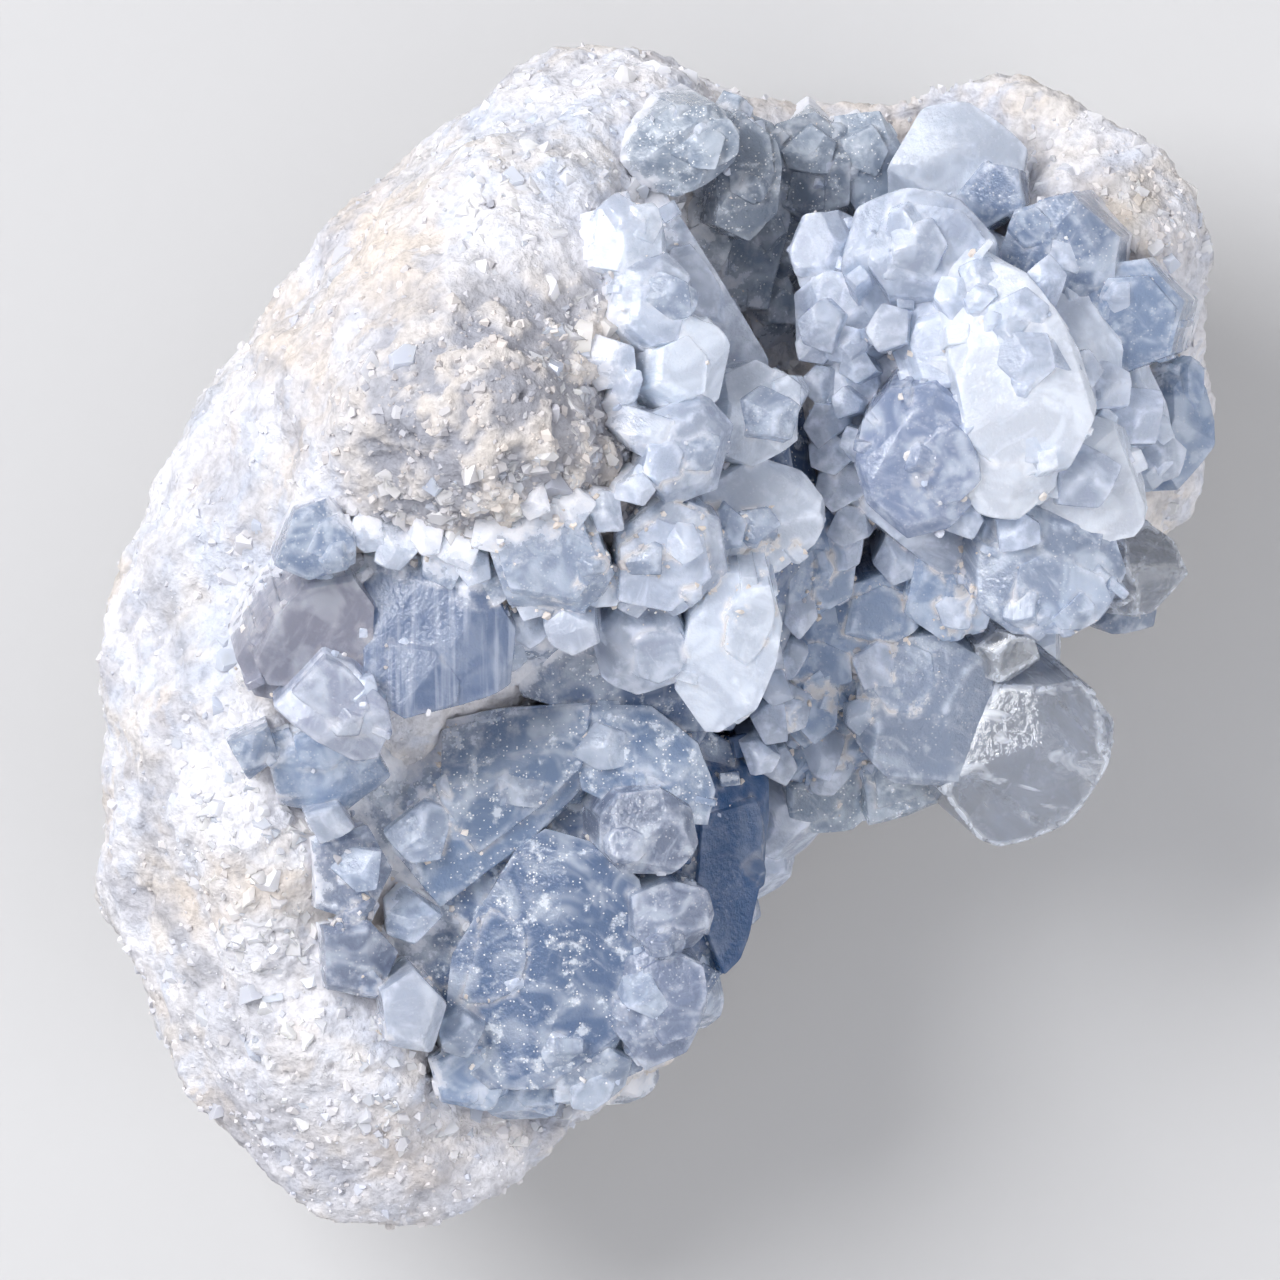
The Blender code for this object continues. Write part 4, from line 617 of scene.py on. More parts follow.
def stone_tones(places, normals, depth, owner, clods):
    """The colour of each vertex of the stone, from its place, the way it faces, its grain and its clods, with
    painted shade in the grain's low places.
    """
    drawn = as_drawn(places)
    bend = np.stack([layered_noise(places, 9.0, 200), layered_noise(places, 9.0, 230)], axis=-1) * 4.0
    drawn = drawn + bend
    tone = np.array(STONE_COLOURS["white"]) * np.ones((len(places), 1))

    def lay(colour, share):
        nonlocal tone
        share = np.clip(share, 0.0, 1.0)[:, None]
        tone = tone * (1 - share) + np.array(STONE_COLOURS[colour]) * share

    for colour, low, high, size, seed, share in STONE_CLOUDS:
        lay(colour, smooth_step(low, high, layered_noise(places, size, seed, 6)) * share)
    lay("bluish", (owner > 0.80) * 0.40)
    outside = smooth_step(0.42, -0.25, normals[:, 2] + 0.3 * layered_noise(places, 10.0, 270))
    lay("skin", outside * (0.55 + 0.35 * layered_noise(places, 5.0, 280)))
    lay("peach", outside * smooth_step(0.1, 0.6, layered_noise(places, 8.0, 290)) * 0.6)
    upper = smooth_step(-0.3, 0.3, normals[:, 2])
    crumbs = [smooth_step(-0.5, 0.4, layered_noise(places, 2.4, 300 + turn, 3)) for turn in range(3)]
    for number, (x, y, wide, high, turn, colour, share) in enumerate(PATCHES):
        turn = math.radians(turn)
        across = (drawn[:, 0] - x) * math.cos(turn) + (drawn[:, 1] - y) * math.sin(turn)
        along = (drawn[:, 1] - y) * math.cos(turn) - (drawn[:, 0] - x) * math.sin(turn)
        near = smooth_step(1.25, 0.55, np.hypot(across / wide, along / high))
        lay(colour, near * share * upper * (0.35 + 0.65 * crumbs[number % 3]))
    lay("smoke", upper * clods[0] * (1 - clods[1]) * 0.8)
    lay("cream", upper * clods[1] * 0.75)
    lay("tan", upper * clods[1] * crumbs[2] * 0.45)
    lay("peach", smooth_step(0.30, 0.70, layered_noise(places, 3.4, 310)) * 0.45)
    lay("rust", smooth_step(0.62, 0.9, layered_noise(places, 1.6, 320)) * 0.35)
    # Painted shade: the low places between the grain's facets are darkened with the smoke colour.
    lay("smoke", smooth_step(0.12, -0.25, depth) * 0.45)
    lay("smoke", smooth_step(0.7, 1.0, layered_noise(places, 1.9, 330)) * 0.5)
    tone = tone * (0.93 + 0.10 * owner[:, None])
    return np.clip(tone, 0.0, 0.96)


def direction(azimuth, tilt):
    """The unit vector that leans by tilt degrees from straight up, towards azimuth."""
    azimuth, tilt = math.radians(azimuth), math.radians(tilt)
    return Vector((math.sin(tilt) * math.cos(azimuth), math.sin(tilt) * math.sin(azimuth), math.cos(tilt)))


def seen(x, y, z):
    """The real place of a point at height z that is seen at x, y."""
    scale = (EYE.z - z) / (EYE.z - SEEN_PLANE)
    return Vector((EYE.x + (x - EYE.x) * scale, EYE.y + (y - EYE.y) * scale, z))


def around(table, angle):
    """Reads a table of (degrees, value) that closes on itself, with straight runs between its rows."""
    angle %= 360
    rows = sorted((degrees % 360, value) for degrees, value in table)
    rows = [(rows[-1][0] - 360, rows[-1][1])] + rows + [(rows[0][0] + 360, rows[0][1])]
    for (before, low), (after, high) in zip(rows, rows[1:]):
        if before <= angle <= after:
            return low + (high - low) * (angle - before) / max(after - before, 1e-6)
    return rows[0][1]


def stone_radii():
    """The stone's outline as (degrees, distance) from the centre."""
    radii = []
    for x, y in STONE_OUTLINE:
        arm = seen(x, y, SEEN_PLANE) - CENTRE
        radii.append((math.degrees(math.atan2(arm.y, arm.x)), math.hypot(arm.x, arm.y)))
    return radii


def surface_height(x, y):
    """The height of the stone's upper surface: the lattice's heights, each weighed by how near it lies."""
    total = weight = 0.0
    for row_y, heights in SURFACE_ROWS.items():
        for column, height in enumerate(heights):
            away = (x - LATTICE_START - column * LATTICE_STEP) ** 2 + (y - row_y) ** 2
            share = math.exp(-away / (2 * SURFACE_SOFTNESS**2))
            total += height * share
            weight += share
    return total / weight


def stone_relief(place):
    """How far the stone stands out at this place: broad lumps, less the pits between its grains."""
    lumps = noise.noise(place / LUMP_SIZE) + FINER_SHARE * noise.noise(place * FINER / LUMP_SIZE)
    nearest = noise.voronoi(place / PIT_SIZE)[0][0]
    return LUMP_HEIGHT * lumps - PIT_DEPTH * max(0.0, PIT_REACH - nearest)


def ring_shell(reaches, rings):
    """The geode wall as (mesh, rings below, rings above), still open at both ends.

    The rings run from the middle of the base out to the widest line and back in over the top.
    """
    spokes = len(reaches)
    turns = [360 * spoke / spokes for spoke in range(spokes)]
    edges = [around(EDGE_HEIGHTS, turn) for turn in turns]
    mesh = bmesh.new()
    layers = []
    for upper in (False, True):
        layer = []
        for ring in range(1, rings + 1 - upper):
            share = math.sin(math.radians(90 * ring / rings))
            row = []
            for turn, reach, edge in zip(turns, reaches, edges):
                arm = direction(turn, 90) * reach * share
                if upper:
                    rise = math.sqrt(1 - share**RIM_ROUNDING)
                    z = edge + (surface_height(CENTRE.x + arm.x, CENTRE.y + arm.y) - edge) * rise
                else:
                    z = max(0.0, edge - (edge + FLAT_CUT) * math.sqrt(1 - share**2))
                row.append(mesh.verts.new((CENTRE.x + arm.x, CENTRE.y + arm.y, z)))
            layer.append(row)
        layers.append(layer)
    bottom, top = layers
    shell = bottom + top[::-1]
    for low, high in zip(shell, shell[1:]):
        for spoke in range(spokes):
            beside = (spoke + 1) % spokes
            mesh.faces.new((low[spoke], low[beside], high[beside], high[spoke]))
    return mesh, bottom, top


def add_relief(mesh):
    """Gives a closed wall its lumps and pits, all but its flat resting spot."""
    bmesh.ops.recalc_face_normals(mesh, faces=mesh.faces)
    mesh.normal_update()
    for vert in [vert for vert in mesh.verts if vert.co.z > 0.0]:
        vert.co += vert.normal * stone_relief(vert.co)
        vert.co.z = max(0.0, vert.co.z)


def stone_mesh():
    """The geode wall as coarse as part.py makes it."""
    radii = stone_radii()
    mesh, bottom, top = ring_shell([around(radii, 360 * spoke / SPOKES) for spoke in range(SPOKES)], RINGS)
    bottom_middle = mesh.verts.new((CENTRE.x, CENTRE.y, 0.0))
    top_middle = mesh.verts.new((CENTRE.x, CENTRE.y, surface_height(CENTRE.x, CENTRE.y)))
    for spoke in range(SPOKES):
        beside = (spoke + 1) % SPOKES
        mesh.faces.new((bottom_middle, bottom[0][beside], bottom[0][spoke]))
        mesh.faces.new((top_middle, top[0][spoke], top[0][beside]))
    add_relief(mesh)
    return mesh


def grown(mesh, distance):
    """Moves each vertex outwards along its normal."""
    mesh.normal_update()
    moves = [vert.normal * distance for vert in mesh.verts]
    for vert, move in zip(mesh.verts, moves):
        vert.co += move
    return mesh


def cut_block(planes, middle):
    """The convex block inside all of the planes, each a (point, outward normal)."""
    mesh = bmesh.new()
    bmesh.ops.create_cube(mesh, size=BLOCK_SIZE)
    bmesh.ops.translate(mesh, verts=mesh.verts, vec=middle)
    for point, normal in planes:
        bmesh.ops.bisect_plane(
            mesh,
            geom=mesh.verts[:] + mesh.edges[:] + mesh.faces[:],
            dist=1e-4,
            plane_co=point,
            plane_no=normal,
            clear_outer=True,
        )
        rim = [edge for edge in mesh.edges if edge.is_boundary]
        if rim:
            bmesh.ops.contextual_create(mesh, geom=rim)
    bmesh.ops.remove_doubles(mesh, verts=mesh.verts, dist=0.01)
    bmesh.ops.recalc_face_normals(mesh, faces=mesh.faces)
    return mesh


def outward_side(corner, following, growth, middle):
    """The outward normal of the side that runs along growth through two corners of a rim."""
    side = (following - corner).cross(growth).normalized()
    return side if side.dot(corner - middle) > 0 else -side


def pointed(point):
    """The block of one Point: a stubby prism of five uneven sides under a roof of three planes."""
    dice = random.Random(round(point.x * 10) * 7919 + round(point.y * 10))
    tip = seen(point.x, point.y, point.top - POINT_DEPTH)
    growth = direction(*point.lean)
    across = growth.orthogonal().normalized()
    beside = growth.cross(across)
    start = dice.uniform(0, math.tau)
    rim = []
    for step in range(POINT_SIDES):
        angle = start + math.tau * (step + dice.uniform(-0.25, 0.25)) / POINT_SIDES
        reach = point.radius * dice.uniform(0.9, 1.3)
        rim.append(tip + (across * math.cos(angle) + beside * math.sin(angle)) * reach)
    middle = sum(rim, Vector()) / len(rim)
    planes = [(middle - growth * point.root, -growth)]
    for index, corner in enumerate(rim):
        side = outward_side(corner, rim[(index + 1) % len(rim)], growth, middle)
        planes.append((corner, side))
    bearing = dice.uniform(0, 360)
    for turn in (0, dice.uniform(100, 140), dice.uniform(220, 260)):
        slope = direction(bearing + turn, dice.uniform(14, 38))
        planes.append((tip, slope))
    return cut_block(planes, middle)


def flank_crystals(rows):
    """Crystals that point outwards from a broken flank, each as (place, azimuth, tilt, radius)."""
    dice = random.Random(41)
    radii = stone_radii()
    for azimuths, height, radius in rows:
        for azimuth in azimuths:
            bearing = azimuth + dice.uniform(-3, 3)
            reach = around(radii, bearing) - radius * dice.uniform(-0.2, 0.8)
            place = CENTRE + direction(bearing, 90) * reach
            place.z = height + dice.uniform(-2, 2)
            turn = dice.uniform(-14, 14)
            tilt = dice.uniform(50, 74)
            yield place, bearing + turn, tilt, radius * dice.uniform(0.8, 1.2)


def flank_block(place, azimuth, tilt, radius):
    """One crystal of the flank."""
    dice = random.Random(round(place.x * 100) + round(place.y * 10))
    growth = direction(azimuth, tilt)
    across = growth.orthogonal().normalized()
    beside = growth.cross(across)
    rim = []
    for step in range(FLANK_SIDES):
        angle = math.tau * (step + dice.uniform(-0.2, 0.2)) / FLANK_SIDES
        reach = radius * dice.uniform(0.8, 1.15)
        rim.append(place + (across * math.cos(angle) + beside * math.sin(angle)) * reach)
    planes = [(place - growth * FLANK_LENGTH, -growth)]
    for index, corner in enumerate(rim):
        following = rim[(index + 1) % len(rim)]
        side = outward_side(corner, following, growth, place)
        slope = (side + growth * dice.uniform(0.7, 1.3)).normalized()
        planes.append((corner, side))
        planes.append((place + slope * (radius * dice.uniform(0.62, 0.8)), slope))
    tip = (growth + across * dice.uniform(-0.25, 0.25)).normalized()
    planes.append((place + tip * (radius * dice.uniform(0.3, 0.6)), tip))
    return cut_block(planes, place)


def rim_block(rim, head, growth, faces, bevels, root, blunt, facets_of_head=()):
    """One crystal block with every edge blunted a little."""
    middle = sum(rim, Vector()) / len(rim)
    head_normal = sum(faces, Vector()).normalized()
    planes = [(head, face) for face in faces]
    for index, corner in enumerate(rim):
        following = rim[(index + 1) % len(rim)]
        side = outward_side(corner, following, growth, middle)
        planes.append((corner, side))
        if bevels[index] > 0:
            slope = (side + head_normal * BEVEL_SLOPE).normalized()
            brink = (corner + following) / 2
            brink += growth * ((head - brink).dot(head_normal) / growth.dot(head_normal))
            planes.append((brink - side * bevels[index], slope))
    planes += facets_of_head
    planes.append((middle - growth * root, -growth))
    return blunted(cut_block(planes, middle), blunt)


def head_facets(rim, head, growth, faces, width, dice):
    """Planes that cut some corners off a crystal's head and slope its shoulders."""
    middle = sum(rim, Vector()) / len(rim)
    head_normal = sum(faces, Vector()).normalized()
    planes = []
    for corner in rim:
        out = corner - middle
        out = (out - growth * out.dot(growth)).normalized()
        if dice.random() < 0.75:
            brink = corner + growth * ((head - corner).dot(head_normal) / growth.dot(head_normal))
            cut = (out + growth * dice.uniform(0.5, 1.7)).normalized()
            planes.append((brink - cut * width * dice.uniform(0.05, 0.24), cut))
    if width < 6.0:
        for _ in range(2):
            corner = dice.choice(rim)
            out = corner - middle
            out = (out - growth * out.dot(growth)).normalized()
            slope = (head_normal + out * dice.uniform(0.2, 0.55)).normalized()
            planes.append((head + out * width * dice.uniform(0.05, 0.5), slope))
    return planes


def blunted(mesh, width):
    """Takes a thin strip off every edge."""
    bmesh.ops.bevel(
        mesh, geom=mesh.edges[:], offset=width, offset_type="OFFSET", segments=1, profile=0.5,
        affect="EDGES", clamp_overlap=True,
    )
    bmesh.ops.remove_doubles(mesh, verts=mesh.verts, dist=0.004)
    bmesh.ops.recalc_face_normals(mesh, faces=mesh.faces)
    return mesh


def crystal_blocks(crystal, steps):
    """The blocks of one Crystal: its body, the growth steps on its head and the ridges on its sides."""
    rim = [seen(x, y, crystal.top) for x, y in crystal.outline]
    dice = random.Random(len(rim) * 1000 + round(crystal.top * 10))
    bevels = [crystal.bevel * max(0.0, dice.uniform(-0.9, 1.5)) for _ in rim]
    growth = direction(*crystal.lean)
    faces = [direction(*face) for face in crystal.faces]
    middle = sum(rim, Vector()) / len(rim)
    head = middle.copy()
    head.z = crystal.top
    width = min((corner - middle).length for corner in rim)
    extra = head_facets(rim, head, growth, faces, width, dice)
    blocks = [rim_block(rim, head, growth, faces, bevels, crystal.root, min(0.18, width * 0.04), extra)]
    for step in range(steps if width > 3.0 and len(faces) < 3 else 0):
        anchor = dice.choice(rim)
        size = dice.uniform(0.3, 0.85)
        lift = dice.uniform(0.10, 0.30) * (step + 1)
        small = [anchor.lerp(corner, size) + (middle - anchor) * dice.uniform(0.0, 0.1) for corner in rim]
        low = [bevel * 0.35 for bevel in bevels]
        blocks.append(rim_block(small, head + growth * lift, growth, faces, low, crystal.root * 0.5, 0.07))
    for index, corner in enumerate(rim):
        following = rim[(index + 1) % len(rim)]
        if (following - corner).length < 3.0 or dice.random() < 0.4:
            continue
        side = outward_side(corner, following, growth, middle)
        first = dice.uniform(0.05, 0.5)
        last = min(0.95, first + dice.uniform(0.12, 0.4))
        out = dice.uniform(0.12, 0.35)
        brow = head - growth * dice.uniform(0.2, 2.0)
        slab = [
            corner.lerp(following, first) + side * out,
            corner.lerp(following, last) + side * out,
            corner.lerp(following, last) - side * 1.5,
            corner.lerp(following, first) - side * 1.5,
        ]
        blocks.append(rim_block(slab, brow, growth, faces, [out * 1.4, 0, 0, 0], crystal.root * 0.6, 0.05))
    return blocks


def small_crystal(place, growth, radius, length, dice):
    """A small prism with a slanting head, set on place."""
    across = growth.orthogonal().normalized()
    beside = growth.cross(across)
    sides = dice.choice((4, 5, 6, 6))
    start = dice.uniform(0, math.tau)
    flat = dice.uniform(0.6, 1.0)
    tip = place + growth * length
    rim = []
    for step in range(sides):
        angle = start + math.tau * (step + dice.uniform(-0.2, 0.2)) / sides
        rim.append(tip + (across * math.cos(angle) + beside * math.sin(angle) * flat) * radius)
    planes = [(place - growth * radius * 1.2, -growth)]
    middle = sum(rim, Vector()) / len(rim)
    for index, corner in enumerate(rim):
        planes.append((corner, outward_side(corner, rim[(index + 1) % len(rim)], growth, middle)))
    for turn in range(3):
        angle = start + math.tau * (turn + dice.uniform(-0.2, 0.2)) / 3
        lean = dice.uniform(0.35, 1.0)
        slope = (growth + (across * math.cos(angle) + beside * math.sin(angle)) * lean).normalized()
        planes.append((tip - growth * radius * dice.uniform(0.0, 0.35), slope))
    return cut_block(planes, place)


def joined(blocks):
    """One closed mesh from overlapping blocks. Its faces keep their block's number as the attribute block."""
    folder = bpy.data.collections.new("blocks")
    bpy.context.scene.collection.children.link(folder)
    made = []
    for number, block in enumerate(blocks):
        data = bpy.data.meshes.new("block")
        block.to_mesh(data)
        block.free()
        numbers = data.attributes.new("block", "INT", "FACE")
        numbers.data.foreach_set("value", [number] * len(data.polygons))
        made.append(bpy.data.objects.new("block", data))
    for extra in made[1:]:
        folder.objects.link(extra)
    bpy.context.scene.collection.objects.link(made[0])
    union = made[0].modifiers.new("Union", "BOOLEAN")
    union.operation = "UNION"
    union.solver = "MANIFOLD"
    union.operand_type = "COLLECTION"
    union.collection = folder
    graph = bpy.context.evaluated_depsgraph_get()
    data = bpy.data.meshes.new_from_object(made[0].evaluated_get(graph))
    for extra in made:
        bpy.data.objects.remove(extra, do_unlink=True)
    bpy.data.collections.remove(folder)
    return data


def less_stone(data, stone):
    """Takes the stone out of a mesh of crystals and drops the chips that this leaves."""
    target = bpy.data.objects.new("crystals", data)
    bpy.context.scene.collection.objects.link(target)
    cut = target.modifiers.new("Stone", "BOOLEAN")
    cut.operation = "DIFFERENCE"
    cut.solver = "MANIFOLD"
    cut.object = stone
    graph = bpy.context.evaluated_depsgraph_get()
    left = bpy.data.meshes.new_from_object(target.evaluated_get(graph))
    bpy.data.objects.remove(target, do_unlink=True)
    mesh = bmesh.new()
    mesh.from_mesh(left)
    bodies = loose_bodies(mesh)
    for chip in bodies[:-1]:
        bmesh.ops.delete(mesh, geom=chip, context="VERTS")
    mesh.to_mesh(left)
    mesh.free()
    return left


def loose_bodies(mesh):
    """The vertices of each separate body, the largest last."""
    bodies = []
    left = set(mesh.verts)
    while left:
        body = []
        front = [left.pop()]
        while front:
            vert = front.pop()
            body.append(vert)
            for edge in vert.link_edges:
                other = edge.other_vert(vert)
                if other in left:
                    left.remove(other)
                    front.append(other)
        bodies.append(body)
    return sorted(bodies, key=len)


# An edge counts as one where its faces meet at more than this angle, in radians
EDGE_ANGLE = 0.25


def edges_of(data, outer, least_length=0.3):
    """A mesh's outer or inner edges as (end, end, way out between the two faces, length, block)."""
    mesh = bmesh.new()
    mesh.from_mesh(data)
    mesh.normal_update()
    block = mesh.faces.layers.int["block"]
    found = []
    for edge in mesh.edges:
        if len(edge.link_faces) == 2 and edge.is_convex == outer and edge.calc_face_angle(0.0) > EDGE_ANGLE:
            length = edge.calc_length()
            if length < least_length:
                continue
            first, second = edge.link_faces
            out = first.normal + second.normal
            if out.length > 0.1:
                ends = (edge.verts[0].co.copy(), edge.verts[1].co.copy())
                found.append((*ends, out.normalized(), length, first[block]))
    mesh.free()
    return found


def finer(data, longest):
    """The mesh in triangles, with long edges parted so that colours can change along them."""
    mesh = bmesh.new()
    mesh.from_mesh(data)
    bmesh.ops.triangulate(mesh, faces=mesh.faces[:])
    for _ in range(5):
        long_edges = [edge for edge in mesh.edges if edge.calc_length() > longest]
        if not long_edges:
            break
        bmesh.ops.subdivide_edges(mesh, edges=long_edges, cuts=1)
        bmesh.ops.triangulate(mesh, faces=[face for face in mesh.faces if len(face.verts) > 3])
    made = bpy.data.meshes.new("finer")
    mesh.to_mesh(made)
    mesh.free()
    return made


# How much a crystal's edges are rounded, the size of the waves on its faces, and the angle from which an edge
# still looks sharp
EDGE_ROUNDING = 0.2
WAVE_SIZE = 2.4
SHARP_DEGREES = 19


def worn(data, waves):
    """Rounds the edges of a mesh a little and makes its faces wavy, as on crystals that grew in a crowd."""
    mesh = bmesh.new()
    mesh.from_mesh(data)
    bmesh.ops.smooth_vert(
        mesh, verts=mesh.verts, factor=EDGE_ROUNDING, use_axis_x=True, use_axis_y=True, use_axis_z=True
    )
    mesh.to_mesh(data)
    mesh.free()
    places, normals = vertex_arrays(data)
    rise = waves * layered_noise(places, WAVE_SIZE, 610, 3)
    data.vertices.foreach_set("co", (places + normals * rise[:, None]).astype(np.float32).ravel())
    data.polygons.foreach_set("use_smooth", np.ones(len(data.polygons), bool))
    data.set_sharp_from_angle(angle=math.radians(SHARP_DEGREES))
    data.update()


def set_values(data, name, kind, domain, values):
    """Stores values on a mesh under a name."""
    layer = data.attributes.new(name, kind, domain)
    field = {"FLOAT": "value", "FLOAT_COLOR": "color", "FLOAT_VECTOR": "vector"}[kind]
    layer.data.foreach_set(field, np.ascontiguousarray(values, np.float32).ravel())


def with_alpha(colours):
    return np.concatenate([colours, np.ones((len(colours), 1))], axis=1)


def distance_to(points, places, reach):
    """Each place's distance to the nearest of the points, up to reach."""
    tree = Kd(len(points))
    for index, point in enumerate(points):
        tree.insert(point, index)
    tree.balance()
    return np.array([min(reach, tree.find(place)[2]) for place in places])


class Heap:
    """Many small convex bodies that share a few shapes, gathered into one mesh."""

    def __init__(self, shapes):
        self.shapes = shapes
        self.places, self.triangles, self.tones = [], [], []
        self.count = 0

    def add(self, place, growth, size, tone, dice):
        """Sets one body down: size is its three widths, the last along growth."""
        corners, triangles = self.shapes[dice.randrange(len(self.shapes))]
        across = growth.orthogonal().normalized()
        across.rotate(Quaternion(growth, dice.uniform(0, math.tau)))
        beside = growth.cross(across)
        turn = np.array([across, beside, growth])
        self.places.append((corners * np.array(size)) @ turn + np.array(place))
        self.triangles.append(triangles + self.count)
        self.tones.append(np.tile(tone, (len(corners), 1)))
        self.count += len(corners)

    def finish(self, name, look):
        data = bpy.data.meshes.new(name)
        places = np.concatenate(self.places) * MM
        triangles = np.concatenate(self.triangles)
        data.from_pydata(places.tolist(), [], triangles.tolist())
        set_values(data, "tone", "FLOAT_COLOR", "POINT", with_alpha(np.concatenate(self.tones)))
        data.materials.append(look)
        made = bpy.data.objects.new(name, data)
        bpy.context.scene.collection.objects.link(made)
        return made


def crumb_shapes(count, seed):
    """Small convex bodies of radius about 1 as (corners, triangles)."""
    dice = random.Random(seed)
    shapes = []
    for _ in range(count):
        planes = [(normal * reach * 10.0, normal) for normal, reach in crumb_planes(dice)]
        mesh = cut_block(planes, Vector())
        bmesh.ops.triangulate(mesh, faces=mesh.faces[:])
        mesh.verts.index_update()
        corners = np.array([vert.co[:] for vert in mesh.verts]) / 10.0
        triangles = np.array([[vert.index for vert in face.verts] for face in mesh.faces])
        mesh.free()
        shapes.append((corners, triangles))
    return shapes


def crumb_planes(dice):
    """The planes of a crumb with no long side, as (normal, distance)."""
    planes = []
    for step in range(10):
        height = 1 - 2 * (step + 0.5) / 10
        angle = step * 2.4 + dice.uniform(-0.5, 0.5)
        flat = math.sqrt(1 - height * height)
        normal = Vector((math.cos(angle) * flat, math.sin(angle) * flat, height))
        planes.append((normal, dice.uniform(0.6, 1.0)))
    return planes


STONE_PIECES = (
    ("stone_top", SLANT_LIMIT, math.inf), ("stone_wall", -SLANT_LIMIT, SLANT_LIMIT),
    ("stone_base", -math.inf, -SLANT_LIMIT),
)


def zone(drawn, x, y, wide, high, outer=1.3, inner=0.6):
    """1 inside an ellipse of the drawing and 0 far outside it. outer and inner are shares of its size."""
    return smooth_step(outer, inner, np.hypot((drawn[:, 0] - x) / wide, (drawn[:, 1] - y) / high))


def stone_strength(places, normals):
    """How strong each of GRAINS is at each vertex, and how much of the plateau and its clods is there."""
    drawn = as_drawn(places)
    plateau = zone(drawn, -11, 17, 16, 14, 1.3, 0.7)
    lobe = zone(drawn, -26, -45, 16, 8, 1.3, 0.7)
    outside = smooth_step(0.2, -0.4, normals[:, 2])
    resting = smooth_step(0.2, 3.0, places[:, 2])
    coarse = 1.0 - 0.45 * plateau - 0.6 * lobe - 0.35 * outside
    clods = smooth_step(-0.05, 0.30, layered_noise(places, 3.0, 360, 5))
    grains = [coarse * resting, (1.0 - 0.15 * outside) * resting, (1.0 + 0.5 * plateau) * resting]
    return grains, (plateau, clods * plateau)


def build_stone(look):
    """The stone wall in three pieces. Returns them and the surface as (places, normals, triangles, tones)."""
    data = stone_form()
    places, normals = vertex_arrays(data)
    bends = [soft_noise(places, BEND_SIZE, 350 + axis) for axis in range(3)]
    bent = places + np.stack(bends, axis=-1) * BEND_REACH
    strengths, clods = stone_strength(places, normals)
    rise = np.zeros(len(places))
    # shade is the grain's mean height; stone_tones paints shade into its low places from it.
    shade = np.zeros(len(places))
    for number, ((size, height), strength) in enumerate(zip(GRAINS, strengths)):
        depth, owner = facets(bent, size, 400 + number)
        rise += height * strength * (depth - MEAN_DEPTH)
        shade += (depth - MEAN_DEPTH) / len(GRAINS)
        if number == 1:
            grain_owner = owner
    resting = smooth_step(0.2, 3.0, places[:, 2])
    for number, (size, height) in enumerate(ROUGHNESS_SIZES):
        rise += height * layered_noise(places, size, 500 + number) * resting
    rise += CLOD_HEIGHT * clods[1] * (0.6 + 0.4 * layered_noise(places, 1.2, 370, 3))
    rise -= HOLE_DEPTH * smooth_step(0.40, 0.75, layered_noise(places, 1.7, 380, 3)) * resting
    tones = stone_tones(places, normals, shade, grain_owner, clods)
    places = places + normals * rise[:, None]
    places[:, 2] = np.maximum(places[:, 2], 0.0)
    data.vertices.foreach_set("co", (places * MM).astype(np.float32).ravel())
    set_values(data, "tone", "FLOAT_COLOR", "POINT", with_alpha(tones))
    data.update()
    mesh = bmesh.new()
    mesh.from_mesh(data)
    mesh.normal_update()
    slants = face_slants(np.array([face.calc_center_median()[:] for face in mesh.faces]) / MM)
    pieces = []
    for name, low, high in STONE_PIECES:
        part = mesh.copy()
        away = [face for face, slant in zip(part.faces, slants) if not low <= slant < high]
        bmesh.ops.delete(part, geom=away, context="FACES")
        for face in part.faces:
            face.smooth = True
        piece = mesh_object(name, part)
        piece.data.materials.append(look)
        pieces.append(piece)
    mesh.free()
    data.calc_loop_triangles()
    triangles = np.empty(len(data.loop_triangles) * 3, np.int32)
    data.loop_triangles.foreach_get("vertices", triangles)
    _, fine_normals = vertex_arrays(data)
    return pieces, (places, fine_normals, triangles.reshape(-1, 3), tones)


def face_slants(middles):
    """Which way the stone's underlying form looks at each place: above 0 up, below 0 down."""
    turns = np.arange(0, 361, 3.0)
    radii = stone_radii()
    reaches = np.array([around(radii, turn) for turn in turns])
    heights = np.array([around(EDGE_HEIGHTS, turn) for turn in turns])
    arms = middles - np.array(CENTRE)
    angles = np.degrees(np.arctan2(arms[:, 1], arms[:, 0])) % 360
    share = np.hypot(arms[:, 0], arms[:, 1]) / np.interp(angles, turns, reaches)
    rise = (middles[:, 2] - np.interp(angles, turns, heights)) / 26.0
    return rise + np.clip(1 - share, 0, 1) * 2.2 * np.sign(rise) * (np.abs(rise) > 0.1)


def crystal_frame(growth, dice):
    """A crystal's own axes and a place far off in the noise, so that no two crystals have the same veils."""
    across = growth.orthogonal().normalized()
    across.rotate(Quaternion(growth, dice.uniform(0, math.tau)))
    offset = Vector([dice.uniform(-500, 500) for _ in range(3)])
    return np.array([across, growth.cross(across), growth]), np.array(offset)


def clay_share(drawn):
    """How much clay the seams hold by where they are seen: most between the groups and by the plateau."""
    lower = zone(drawn, 17, -1, 15, 14)
    middle = zone(drawn, -1, 8, 17, 7, 1.4, 0.5)
    left = zone(drawn, -22, -22, 9, 13, 1.4, 0.5)
    return np.clip(0.25 + 0.75 * np.maximum(np.maximum(lower, middle), left * 0.7), 0, 1)


